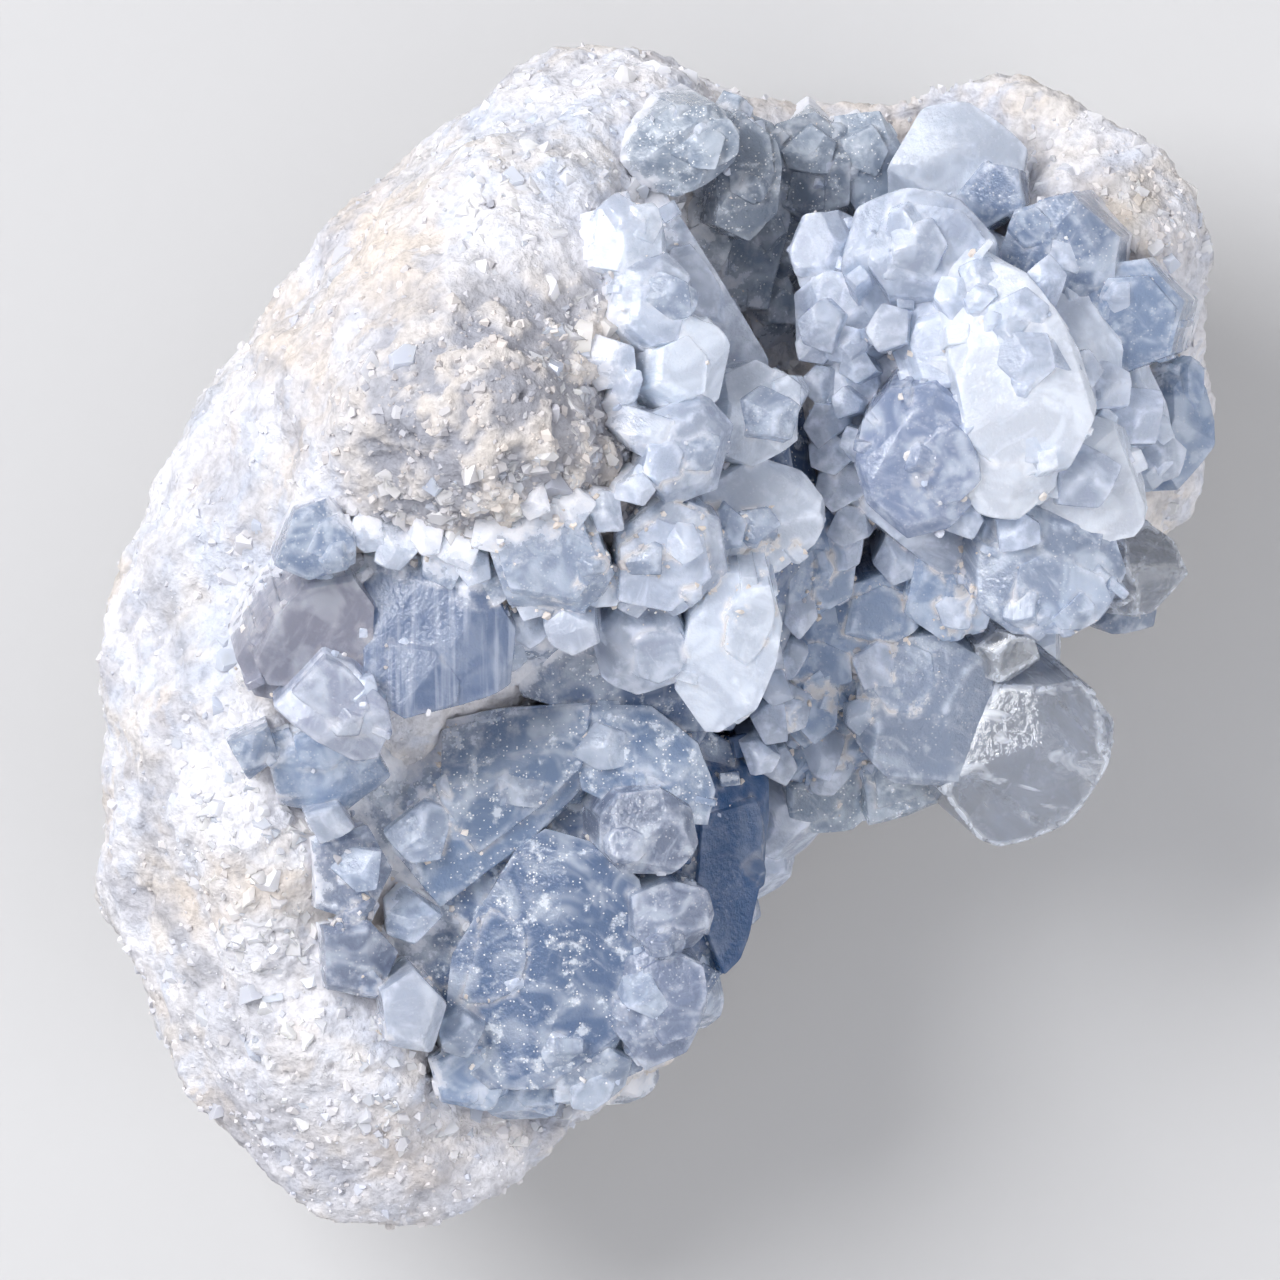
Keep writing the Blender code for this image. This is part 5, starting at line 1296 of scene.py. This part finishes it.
def build_group(
    name, crystals, looks, points, point_looks, flank, stone_cutter, wall, look, druse, skip=(), waves=0.10
):
    """One group of crystals grown together. Returns its piece and its seams.

    druse is the number of small crystals in its seams, and waves the height of the waves on its faces.
    """
    dice = random.Random(len(name) * 977)
    blocks, kinds = [], []
    for index, (crystal, kind) in enumerate(zip(crystals, looks)):
        if index in skip:
            continue
        made = crystal_blocks(crystal, 0 if kind in ("bright", "white", "glass") else 1)
        frame_of = crystal_frame(direction(*crystal.lean), dice)
        blocks += made
        kinds += [(kind, frame_of)] * len(made)
    for point, kind in zip(points, point_looks):
        blocks.append(blunted(pointed(point), 0.08))
        kinds.append((kind, crystal_frame(direction(*point.lean), dice)))
    for place, azimuth, tilt, radius in flank:
        blocks.append(blunted(flank_block(place, azimuth, tilt, radius), 0.1))
        kinds.append((point_looks[0], crystal_frame(direction(azimuth, tilt), dice)))
    rough = joined([block.copy() for block in blocks])
    inner = [seam for seam in edges_of(rough, False, 0.8) if seam[2].z > 0.15]
    for _ in range(druse):
        first, second, out, _, beside = dice.choice(inner)
        place = first.lerp(second, dice.random())
        lean = (out + Vector([dice.uniform(-0.5, 0.5) for _ in range(3)])).normalized()
        radius = 0.5 + 1.6 * dice.random() ** 2
        length = radius * dice.uniform(0.0, 0.7)
        blocks.append(blunted(small_crystal(place, lean, radius, length, dice), 0.05))
        own = kinds[beside][0]
        kinds.append((own if dice.random() < 0.75 else "pale", crystal_frame(lean, dice)))
    data = joined(blocks)
    if stone_cutter:
        data = less_stone(data, stone_cutter)
    found = edges_of(data, False)
    rims = edges_of(data, True)
    data = finer(data, LONGEST_EDGE)
    worn(data, waves)
    paint_crystals(data, kinds, found, rims, wall)
    data.transform(Matrix.Scale(MM, 4))
    data.materials.append(look)
    made = bpy.data.objects.new(name, data)
    bpy.context.scene.collection.objects.link(made)
    return made, found


def marks_along(edges, gap):
    """Places along edges, about a gap apart."""
    marks = []
    for first, second, _, length, _ in edges:
        count = max(1, int(length / gap))
        marks += [first.lerp(second, step / count) for step in range(count + 1)]
    return marks


def paint_crystals(data, kinds, found, rims, wall):
    """Gives faces the look of their crystal, and vertices their distances to seams, edges and the stone."""
    block = np.zeros(len(data.polygons), np.int32)
    data.attributes["block"].data.foreach_get("value", block)
    places, _ = vertex_arrays(data)
    tones = np.array([LOOKS[kind].colour for kind, _ in kinds])
    shades = 1 + 0.10 * (lattice_random(np.arange(len(kinds))[:, None] * np.array([[1, 0, 0]]), 5) * 2 - 1)
    set_values(data, "tone", "FLOAT_COLOR", "FACE", with_alpha((tones * shades[:, None])[block]))
    set_values(data, "clear", "FLOAT", "FACE", np.array([LOOKS[kind].clear for kind, _ in kinds])[block])
    set_values(data, "dust", "FLOAT", "FACE", np.array([LOOKS[kind].dust for kind, _ in kinds])[block])
    set_values(data, "striped", "FLOAT", "FACE", np.array([kind == "stripe" for kind, _ in kinds])[block])
    axes = np.array([frame_of[0] for _, frame_of in kinds])
    offsets = np.array([frame_of[1] for _, frame_of in kinds])
    sizes = np.zeros(len(data.polygons), np.int32)
    corners = np.zeros(len(data.loops), np.int32)
    data.polygons.foreach_get("loop_total", sizes)
    data.loops.foreach_get("vertex_index", corners)
    owner = np.repeat(block, sizes)
    local = np.einsum("nij,nj->ni", axes[owner], places[corners]) + offsets[owner]
    set_values(data, "local", "FLOAT_VECTOR", "CORNER", local)
    set_values(data, "seam", "FLOAT", "POINT", distance_to(marks_along(found, MARK_GAP), places, EDGE_REACH))
    set_values(data, "rim", "FLOAT", "POINT", distance_to(marks_along(rims, MARK_GAP), places, EDGE_REACH))
    set_values(data, "wall", "FLOAT", "POINT", distance_to(wall, places, WALL_REACH))
    set_values(data, "clay", "FLOAT", "POINT", clay_share(as_drawn(places)))


def surface_spots(surface, count, weight, seed):
    """Random places on a surface as (places, normals, places as drawn, tones). weight gives their odds."""
    places, normals, triangles, tones = surface
    dice = np.random.default_rng(seed)
    a, b, c = (places[triangles[:, corner]] for corner in range(3))
    area = np.linalg.norm(np.cross(b - a, c - a), axis=1)
    middle = (a + b + c) / 3
    middle_normals = normals[triangles].mean(axis=1)
    odds = area * weight(middle, middle_normals)
    chosen = dice.choice(len(triangles), size=count, p=odds / odds.sum())
    u, v = dice.random(count), dice.random(count)
    over = u + v > 1
    u[over], v[over] = 1 - u[over], 1 - v[over]
    spots = a[chosen] + u[:, None] * (b - a)[chosen] + v[:, None] * (c - a)[chosen]
    facing = middle_normals[chosen]
    facing /= np.linalg.norm(facing, axis=1, keepdims=True) + 1e-9
    return spots, facing, as_drawn(spots), tones[triangles[chosen, 0]]


def tree_of(piece):
    """A search tree of a piece's faces, in millimetres."""
    corners = [vert.co / MM for vert in piece.data.vertices]
    return BVHTree.FromPolygons(corners, [list(face.vertices) for face in piece.data.polygons])


def covered(tree, place, margin=0.0):
    """True where a place lies inside a piece."""
    hit, normal, _, _ = tree.ray_cast(place + Vector((0, 0, margin)), Vector((0.01, 0.02, 1.0)))
    return hit is not None and normal.z > 0


def mixed_tone(dice, *choices):
    """A colour between two of the choices, a little lighter or darker."""
    first, second = (np.array(STONE_COLOURS[dice.choice(choices)]) for _ in range(2))
    share = dice.random()
    return np.clip((first * share + second * (1 - share)) * dice.uniform(0.85, 1.12), 0, 0.95)


class Tree:
    """A material's nodes, with short names for those used here."""

    def __init__(self, name):
        self.material = bpy.data.materials.new(name)
        self.material.use_nodes = True
        self.tree = self.material.node_tree
        self.shader = self.tree.nodes["Principled BSDF"]

    def node(self, kind, inputs=(), **settings):
        made = self.tree.nodes.new(kind)
        for key, value in settings.items():
            setattr(made, key, value)
        for key, value in dict(inputs).items():
            self.plug(value, made.inputs[key])
        return made

    def plug(self, value, socket):
        if isinstance(value, bpy.types.NodeSocket):
            self.tree.links.new(value, socket)
        else:
            socket.default_value = value

    def named(self, name, output):
        return self.node("ShaderNodeAttribute", attribute_name=name).outputs[output]

    def place(self):
        return self.node("ShaderNodeTexCoord").outputs["Object"]

    def stretched(self, vector, scale):
        return self.node("ShaderNodeVectorMath", {0: vector, 1: scale}, operation="MULTIPLY").outputs[0]

    def noise(self, vector, scale, detail=3.0, bend=0.0):
        inputs = {"Vector": vector, "Scale": scale, "Detail": detail, "Roughness": 0.6, "Distortion": bend}
        return self.node("ShaderNodeTexNoise", inputs).outputs[0]

    def step(self, value, low, high, top=1.0, bottom=0.0):
        inputs = {"Value": value, "From Min": low, "From Max": high, "To Min": bottom, "To Max": top}
        made = self.node("ShaderNodeMapRange", inputs, interpolation_type="SMOOTHSTEP")
        return made.outputs[0]

    def maths(self, operation, *values):
        return self.node("ShaderNodeMath", dict(enumerate(values)), operation=operation).outputs[0]

    def blend(self, share, first, second):
        return self.node("ShaderNodeMix", {0: share, 6: first, 7: second}, data_type="RGBA").outputs[2]

    def bump(self, height, strength, distance):
        inputs = {"Height": height, "Strength": strength, "Distance": distance}
        return self.node("ShaderNodeBump", inputs).outputs[0]

    def finish(self, **inputs):
        for key, value in inputs.items():
            self.plug(value, self.shader.inputs[key.replace("_", " ")])
        return self.material

    def absorb(self, colour, density):
        made = self.node("ShaderNodeVolumeAbsorption", {"Color": (*colour, 1.0), "Density": density})
        output = self.tree.nodes["Material Output"]
        self.tree.links.new(made.outputs[0], output.inputs["Volume"])


CELESTITE_IOR = 1.62

# What dulls a milky crystal: veils, wisps and streaks inside it, frost on its edges, worn spots, specks of
# dust, clay in its seams and the crust near the stone
VEIL = (0.84, 0.89, 0.96, 1)
WISP = (0.82, 0.85, 0.93, 1)
STREAK = (0.60, 0.66, 0.80, 1)
EDGE_FROST = (0.86, 0.89, 0.96, 1)
WORN = (0.74, 0.78, 0.85, 1)
SPECK = (0.86, 0.85, 0.83, 1)
CLAY = (0.64, 0.58, 0.53, 1)
CRUST = (0.79, 0.80, 0.86, 1)


def crystal_look(name, depth_colour, density, milk):
    """Milky blue crystal: light passes through it, but for its veils, its dust and the clay in its seams."""
    tree = Tree(name)
    own = tree.named("local", "Vector")
    place = tree.place()
    dust = tree.named("dust", "Fac")
    fine = tree.noise(place, 520, 4)
    near_wall = tree.maths("ADD", tree.named("wall", "Fac"), tree.maths("MULTIPLY", fine, 7.0))
    crust = tree.step(near_wall, 6.4, 3.6)
    veiled = tree.step(dust, 0.0, 0.3, 1.0, 0.25)
    veil = tree.step(tree.noise(tree.stretched(own, (1, 1, 0.45)), 0.25, 2, 1.0), 0.44, 0.70, 0.8)
    veil = tree.maths("MULTIPLY", veil, veiled)
    wisp = tree.step(tree.noise(tree.stretched(own, (1, 0.3, 0.8)), 0.7, 3, 0.6), 0.52, 0.78, 0.45)
    wisp = tree.maths("MULTIPLY", wisp, veiled)
    worn = tree.maths("MULTIPLY", tree.step(fine, 0.54, 0.68, 0.75), dust)
    cells = tree.node("ShaderNodeTexVoronoi", {"Vector": place, "Scale": 3600.0})
    lone = tree.step(cells.outputs["Distance"], 0.36, 0.20)
    drawn = tree.node("ShaderNodeSeparateColor", {0: cells.outputs["Color"]}).outputs[0]
    odds = tree.maths("ADD", drawn, tree.maths("MULTIPLY", fine, 1.6))
    picked = tree.step(odds, 1.55, 1.62)
    specks = tree.maths("MULTIPLY", tree.maths("MULTIPLY", lone, picked), tree.step(dust, 0.05, 0.9, 0.8))
    near_seam = tree.step(tree.named("seam", "Fac"), 0.60, 0.05)
    patchy = tree.step(fine, 0.54, 0.42, 0.7)
    clay = tree.maths("MULTIPLY", tree.maths("MULTIPLY", near_seam, patchy), tree.named("clay", "Fac"))
    rim = tree.step(tree.named("rim", "Fac"), 0.75, 0.0, 0.75)
    rim = tree.maths("MULTIPLY", tree.maths("MULTIPLY", rim, veiled), tree.step(fine, 0.62, 0.34))
    tone = tree.named("tone", "Color")
    pale = tree.blend(0.5, tone, VEIL)
    colour = tree.blend(veil, tone, pale)
    colour = tree.blend(wisp, colour, tree.blend(0.75, tone, WISP))
    streak = tree.step(tree.noise(tree.stretched(place, (1, 0.07, 0.07)), 1000, 3), 0.48, 0.68, 0.48)
    streak = tree.maths("MULTIPLY", streak, tree.named("striped", "Fac"))
    colour = tree.blend(streak, colour, STREAK)
    colour = tree.blend(rim, colour, tree.blend(0.6, tone, EDGE_FROST))
    colour = tree.blend(worn, colour, WORN)
    colour = tree.blend(specks, colour, SPECK)
    colour = tree.blend(clay, colour, CLAY)
    colour = tree.blend(crust, colour, CRUST)
    solid = tree.maths("MAXIMUM", tree.maths("MAXIMUM", specks, clay), tree.maths("MULTIPLY", worn, 0.9))
    solid = tree.maths("MAXIMUM", solid, crust)
    cloud = tree.maths("MAXIMUM", tree.maths("MAXIMUM", tree.maths("MULTIPLY", veil, 0.6), wisp), rim)
    through = tree.maths("MULTIPLY", tree.named("clear", "Fac"), tree.maths("SUBTRACT", 1.0, cloud))
    through = tree.maths("MULTIPLY", through, tree.maths("SUBTRACT", 1.0, solid))
    rough = tree.maths("MAXIMUM", tree.step(fine, 0.35, 0.7, 0.26, 0.07), tree.maths("MULTIPLY", solid, 0.6))
    lines = tree.noise(tree.stretched(own, (2.6, 2.6, 0.3)), 1.0, 3)
    normal = tree.bump(lines, 0.35, 0.0004)
    tree.absorb(depth_colour, density)
    tree.shader.subsurface_method = "BURLEY"
    return tree.finish(
        Base_Color=colour, Roughness=rough, Transmission_Weight=through, Normal=normal, IOR=CELESTITE_IOR,
        Subsurface_Weight=milk, Subsurface_Radius=(0.75, 0.9, 1.0), Subsurface_Scale=0.003,
    )


def clear_look():
    """Clear crystal with frosted edges and a few fractures inside."""
    tree = Tree("clear_crystal")
    own = tree.named("local", "Vector")
    rim = tree.step(tree.named("rim", "Fac"), 0.60, 0.0)
    rim = tree.maths("MULTIPLY", rim, tree.step(tree.noise(own, 1.6, 2), 0.25, 0.60, 0.6))
    crack = tree.step(tree.noise(tree.stretched(own, (1, 0.35, 0.6)), 0.35, 3, 1.4), 0.54, 0.76, 0.5)
    frost = tree.maths("MAXIMUM", rim, crack)
    lines = tree.noise(tree.stretched(own, (2.2, 2.2, 0.12)), 1.0, 2)
    normal = tree.bump(lines, 0.15, 0.0003)
    tree.absorb((0.80, 0.85, 0.97), 4.0)
    return tree.finish(
        Base_Color=tree.blend(frost, (0.82, 0.86, 0.95, 1), (0.78, 0.83, 0.93, 1)),
        Roughness=tree.maths("ADD", 0.10, tree.maths("MULTIPLY", frost, 0.4)),
        Transmission_Weight=tree.maths("SUBTRACT", 0.80, tree.maths("MULTIPLY", frost, 0.75)),
        IOR=CELESTITE_IOR, Normal=normal,
    )


def stone_look():
    """White granular stone with its colours from the mesh and a finer grain of its own, whose dents carry
    painted shade.
    """
    tree = Tree("geode_stone")
    place = tree.place()
    tone = tree.named("tone", "Color")
    grain = tree.noise(place, 1500, 3)
    darker = tree.node("ShaderNodeMix", data_type="RGBA", blend_type="MULTIPLY")
    tree.tree.links.new(tone, darker.inputs[6])
    # The fine grain's speckle is darkest in the dents of its bump: partly the stone's own speckle, partly
    # painted shade.
    shade = tree.step(grain, 0.30, 0.62, 1.0, 0.80)
    grey = tree.node("ShaderNodeCombineColor", {0: shade, 1: shade, 2: shade}).outputs[0]
    tree.tree.links.new(grey, darker.inputs[7])
    darker.inputs[0].default_value = 1.0
    cells = tree.node("ShaderNodeTexVoronoi", {"Vector": place, "Scale": 1900.0})
    drawn = tree.node("ShaderNodeSeparateColor", {0: cells.outputs["Color"]}).outputs[0]
    glint = tree.step(drawn, 0.80, 0.86)
    rough = tree.maths("SUBTRACT", 0.78, tree.maths("MULTIPLY", glint, 0.5))
    normal = tree.bump(grain, 0.8, 0.0004)
    return tree.finish(
        Base_Color=darker.outputs[2], Roughness=rough, Normal=normal, IOR=1.6,
    )


def crumb_look(name, rough, milk):
    """Small grains with a colour each."""
    tree = Tree(name)
    tone = tree.named("tone", "Color")
    return tree.finish(
        Base_Color=tone, Roughness=rough, IOR=1.6,
        Subsurface_Weight=milk, Subsurface_Radius=(1.0, 1.0, 1.1), Subsurface_Scale=0.001,
    )


# How many places are tried for small crystals and for crumbs. Those under the crystals are left out.
DRUSE_SPOTS = 2900
CRUMB_SPOTS = 4600


def build_druse(surface, trees, look):
    """Small milky crystals on the stone's broken face."""
    dice = random.Random(61)
    heap = Heap(crumb_shapes(40, 62))

    def weight(places, normals):
        drawn = as_drawn(places)
        odds = smooth_step(-0.1, 0.5, normals[:, 2])
        top = zone(drawn, -4, 39, 14, 10, 1.3, 0.7)
        edge = zone(drawn, -1, 24, 9, 14, 1.4, 0.6)
        left = zone(drawn, -31, -16, 8, 20, 1.5, 0.5)
        right = zone(drawn, 37, 34, 12, 14, 1.3, 0.7)
        bottom = zone(drawn, -16, -38, 14, 6)
        brow = zone(drawn, -10, 9, 16, 6)
        most = np.max([top * 0.6, edge, left, right * 0.3, bottom, brow * 2], axis=0)
        return odds * (0.03 + most)

    spots, facing, _, near_tones = surface_spots(surface, DRUSE_SPOTS, weight, 63)
    for spot, normal, near_tone in zip(spots, facing, near_tones):
        place = Vector(spot)
        if any(covered(tree, place, 0.3) for tree in trees):
            continue
        bluish = dice.random() < 0.3
        width = 0.25 + 1.2 * dice.random() ** 2.5
        lean = (Vector(normal) + Vector([dice.uniform(-1.2, 1.2) for _ in range(3)])).normalized()
        size = [width * dice.uniform(0.7, 1.1) for _ in range(3)]
        tone = near_tone * 0.65 + mixed_tone(dice, "white", "bluish", "white") * 0.35
        if bluish:
            tone = near_tone * 0.3 + mixed_tone(dice, "bluish", "white") * 0.7
        heap.add(place - Vector(normal) * width * 0.6, lean, size, tone, dice)
    return heap.finish("small_crystals", look)


def build_crumbs(surface, trees, look):
    """Loose-looking grains of stone and clay that stick to the broken face and the plateau."""
    dice = random.Random(71)
    heap = Heap(crumb_shapes(30, 72))

    def weight(places, normals):
        drawn = as_drawn(places)
        plateau = zone(drawn, -10, 15, 17, 14, 1.35, 0.6)
        tan = zone(drawn, 40, 35.5, 4, 5.5, 1.4, 0.5)
        lobe = zone(drawn, -26, -45, 16, 7)
        return smooth_step(-0.5, 0.4, normals[:, 2]) * (0.25 + plateau + 1.2 * tan + 0.5 * lobe)

    spots, facing, drawn, near_tones = surface_spots(surface, CRUMB_SPOTS, weight, 73)
    for spot, normal, (x, y), near_tone in zip(spots, facing, drawn, near_tones):
        place = Vector(spot)
        if any(covered(tree, place, 0.2) for tree in trees):
            continue
        on_plateau = math.hypot((x + 10) / 17, (y - 15) / 14) < 1.1
        on_tan = math.hypot((x - 40) / 4, (y - 35.5) / 5.5) < 1.2
        width = 0.12 + 0.42 * dice.random() ** 3
        lean = (Vector(normal) + Vector([dice.uniform(-0.9, 0.9) for _ in range(3)])).normalized()
        size = [width * dice.uniform(0.7, 1.2) for _ in range(3)]
        if on_tan or (on_plateau and dice.random() < 0.6):
            tone = mixed_tone(dice, "tan", "peach", "cream")
        elif on_plateau:
            tone = mixed_tone(dice, "grey", "white", "smoke", "cream")
        else:
            tone = mixed_tone(dice, "white", "cream", "bluish")
        heap.add(place - lean * width * 0.35, lean, size, near_tone * 0.6 + tone * 0.4, dice)
    return heap.finish("stone_crumbs", look)


def build_clay(found, look):
    """Crumbs of clay along the seams between the crystals."""
    dice = random.Random(81)
    heap = Heap(crumb_shapes(20, 82))
    for first, second, out, length, _ in found:
        if out.z < -0.2:
            continue
        share = clay_share(as_drawn(np.array([first])))[0]
        patch = 0.4 + 1.3 * noise.noise(first / 3.0)
        for _ in range(int(length * 2.4 * share * patch + dice.random() * 0.9)):
            width = 0.07 + 0.30 * dice.random() ** 2.5
            place = first.lerp(second, dice.random()) + Vector([dice.gauss(0, 0.26) for _ in range(3)])
            if dice.random() < share:
                tone = mixed_tone(dice, "tan", "peach", "cream", "grey")
            else:
                tone = mixed_tone(dice, "white", "bluish", "cream")
            size = [width * dice.uniform(0.6, 1.3) for _ in range(3)]
            heap.add(place, out, size, tone, dice)
    return heap.finish("seam_clay", look)


# The floor's and the sky's colours, the sky's strength, and the lamps as (name, place, size, power). The
# camera looks straight down from EYE, a little to one side, so that the piece stands as in the photo.
FLOOR_COLOUR = (0.62, 0.62, 0.63, 1)
SKY_COLOUR = (0.96, 0.965, 1.0, 1)
SKY_STRENGTH = 0.56
LAMPS = (
    ("key", (-0.40, 0.26, 0.58), 0.46, 5.0),
    ("fill", (0.50, -0.35, 0.45), 0.60, 1.6),
)
LAMP_AIM = Vector((0.0, 0.0, 0.03))
CAMERA_PLACE = (-0.00196, -0.00021, EYE.z * MM)
CAMERA_LENS, CAMERA_SENSOR = 200.0, 36.0


def set_stage():
    """A pale floor, a large lamp at the upper left and even light from all round."""
    bpy.ops.mesh.primitive_plane_add(size=6.0, location=(0, 0, 0))
    floor = bpy.context.object
    floor.name = "floor"
    pale = Tree("pale_floor").finish(Base_Color=FLOOR_COLOUR, Roughness=0.9)
    floor.data.materials.append(pale)
    world = bpy.data.worlds.new("studio")
    bpy.context.scene.world = world
    world.use_nodes = True
    sky = world.node_tree.nodes["Background"]
    sky.inputs["Color"].default_value = SKY_COLOUR
    sky.inputs["Strength"].default_value = SKY_STRENGTH
    for name, place, size, power in LAMPS:
        lamp = bpy.data.lights.new(name, "AREA")
        lamp.shape = "DISK"
        lamp.size = size
        lamp.energy = power
        holder = bpy.data.objects.new(name, lamp)
        holder.location = place
        aim = LAMP_AIM - Vector(place)
        holder.rotation_euler = aim.to_track_quat("-Z", "Y").to_euler()
        bpy.context.scene.collection.objects.link(holder)
    lens = bpy.data.cameras.new("camera")
    lens.lens = CAMERA_LENS
    lens.sensor_width = CAMERA_SENSOR
    camera = bpy.data.objects.new("camera", lens)
    camera.location = CAMERA_PLACE
    bpy.context.scene.collection.objects.link(camera)
    scene = bpy.context.scene
    scene.camera = camera
    scene.view_settings.view_transform = "Standard"
    scene.cycles.use_denoising = True
    scene.cycles.adaptive_threshold = 0.12
    scene.cycles.adaptive_min_samples = 12
    scene.cycles.max_bounces = 8
    scene.cycles.transmission_bounces = 6
    scene.cycles.diffuse_bounces = 2
    scene.cycles.glossy_bounces = 2
    scene.cycles.sample_clamp_indirect = 6.0


# The crystals are cut with the stone less SEAT_DEPTH. WALL_STRIDE picks the vertices that stand for the stone
# where a crystal's distance to it is measured. FLOOR_BACK trims the crystal under the hollow's floor, so that
# less of it comes out behind the wall.
SEAT_DEPTH = 1.0
WALL_STRIDE = 15
FLOOR_BACK = 45.2


def build():
    """Makes every piece, hides the part's own meshes and hangs each piece under the root body."""
    stone_pieces, surface = build_stone(stone_look())
    wall = [Vector(place) for place in surface[0][::WALL_STRIDE]]
    cutter = mesh_object("cutter", grown(stone_mesh(), -SEAT_DEPTH))
    blue_material = crystal_look("blue_crystal", depth_colour=(0.44, 0.60, 0.90), density=38.0, milk=0.5)
    pale_material = crystal_look("pale_crystal", depth_colour=(0.62, 0.73, 0.94), density=15.0, milk=0.5)
    dark_material = crystal_look("dark_crystal", depth_colour=(0.36, 0.50, 0.68), density=50.0, milk=0.0)
    blue, blue_seams = build_group(
        "blue_heads", BLUE_CRYSTALS, BLUE_LOOKS, BLUE_POINTS + BLUE_FILL,
        ["milk"] * len(BLUE_POINTS) + ["white"] * len(BLUE_FILL), list(flank_crystals(BLUE_FLANK)),
        cutter, wall, blue_material, druse=170,
    )
    pale, pale_seams = build_group(
        "pale_heads", PALE_CRYSTALS, PALE_LOOKS, PALE_POINTS + PALE_FILL,
        ["pale"] * len(PALE_POINTS + PALE_FILL), list(flank_crystals(PALE_FLANK)),
        cutter, wall, pale_material, druse=190, skip=CLEAR_ONES,
    )
    floor = HOLLOW_CRYSTALS[0]
    floor = floor._replace(outline=[(x, min(y, FLOOR_BACK)) for x, y in floor.outline])
    dark, dark_seams = build_group(
        "dark_crust", [floor, *HOLLOW_CRYSTALS[1:]], HOLLOW_LOOKS, HOLLOW_POINTS,
        ["slate"] * len(HOLLOW_POINTS), [], cutter, wall, dark_material, druse=50,
    )
    clear, _ = build_group(
        "clear_ones", [PALE_CRYSTALS[index] for index in CLEAR_ONES], ["glass"] * len(CLEAR_ONES), [], [], [],
        None, wall, clear_look(), druse=0, waves=0.03,
    )
    bpy.data.objects.remove(cutter, do_unlink=True)
    trees = [tree_of(piece) for piece in (blue, pale, dark, clear)]
    druse = build_druse(surface, trees, crumb_look("milky_crystal", 0.25, 0.5))
    crumbs = build_crumbs(surface, trees, crumb_look("crumbs", 0.8, 0.0))
    clay = build_clay(blue_seams + pale_seams + dark_seams, crumb_look("clay", 0.9, 0.0))
    for piece in stone_pieces:
        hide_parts("rind")
    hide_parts("blue_crystals")
    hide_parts("pale_crystals")
    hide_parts("pale_crystals")
    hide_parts("hollow_crust")
    for piece, slot in (
        *((piece, "rind_stone") for piece in (*stone_pieces, druse, crumbs, clay)),
        (blue, "blue_celestite"),
        (pale, "pale_celestite"),
        (clear, "pale_celestite"),
        (dark, "dark_celestite"),
    ):
        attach(piece, "root")
        print("piece", piece.name, sum(len(face.vertices) - 2 for face in piece.data.polygons))


build()
set_stage()
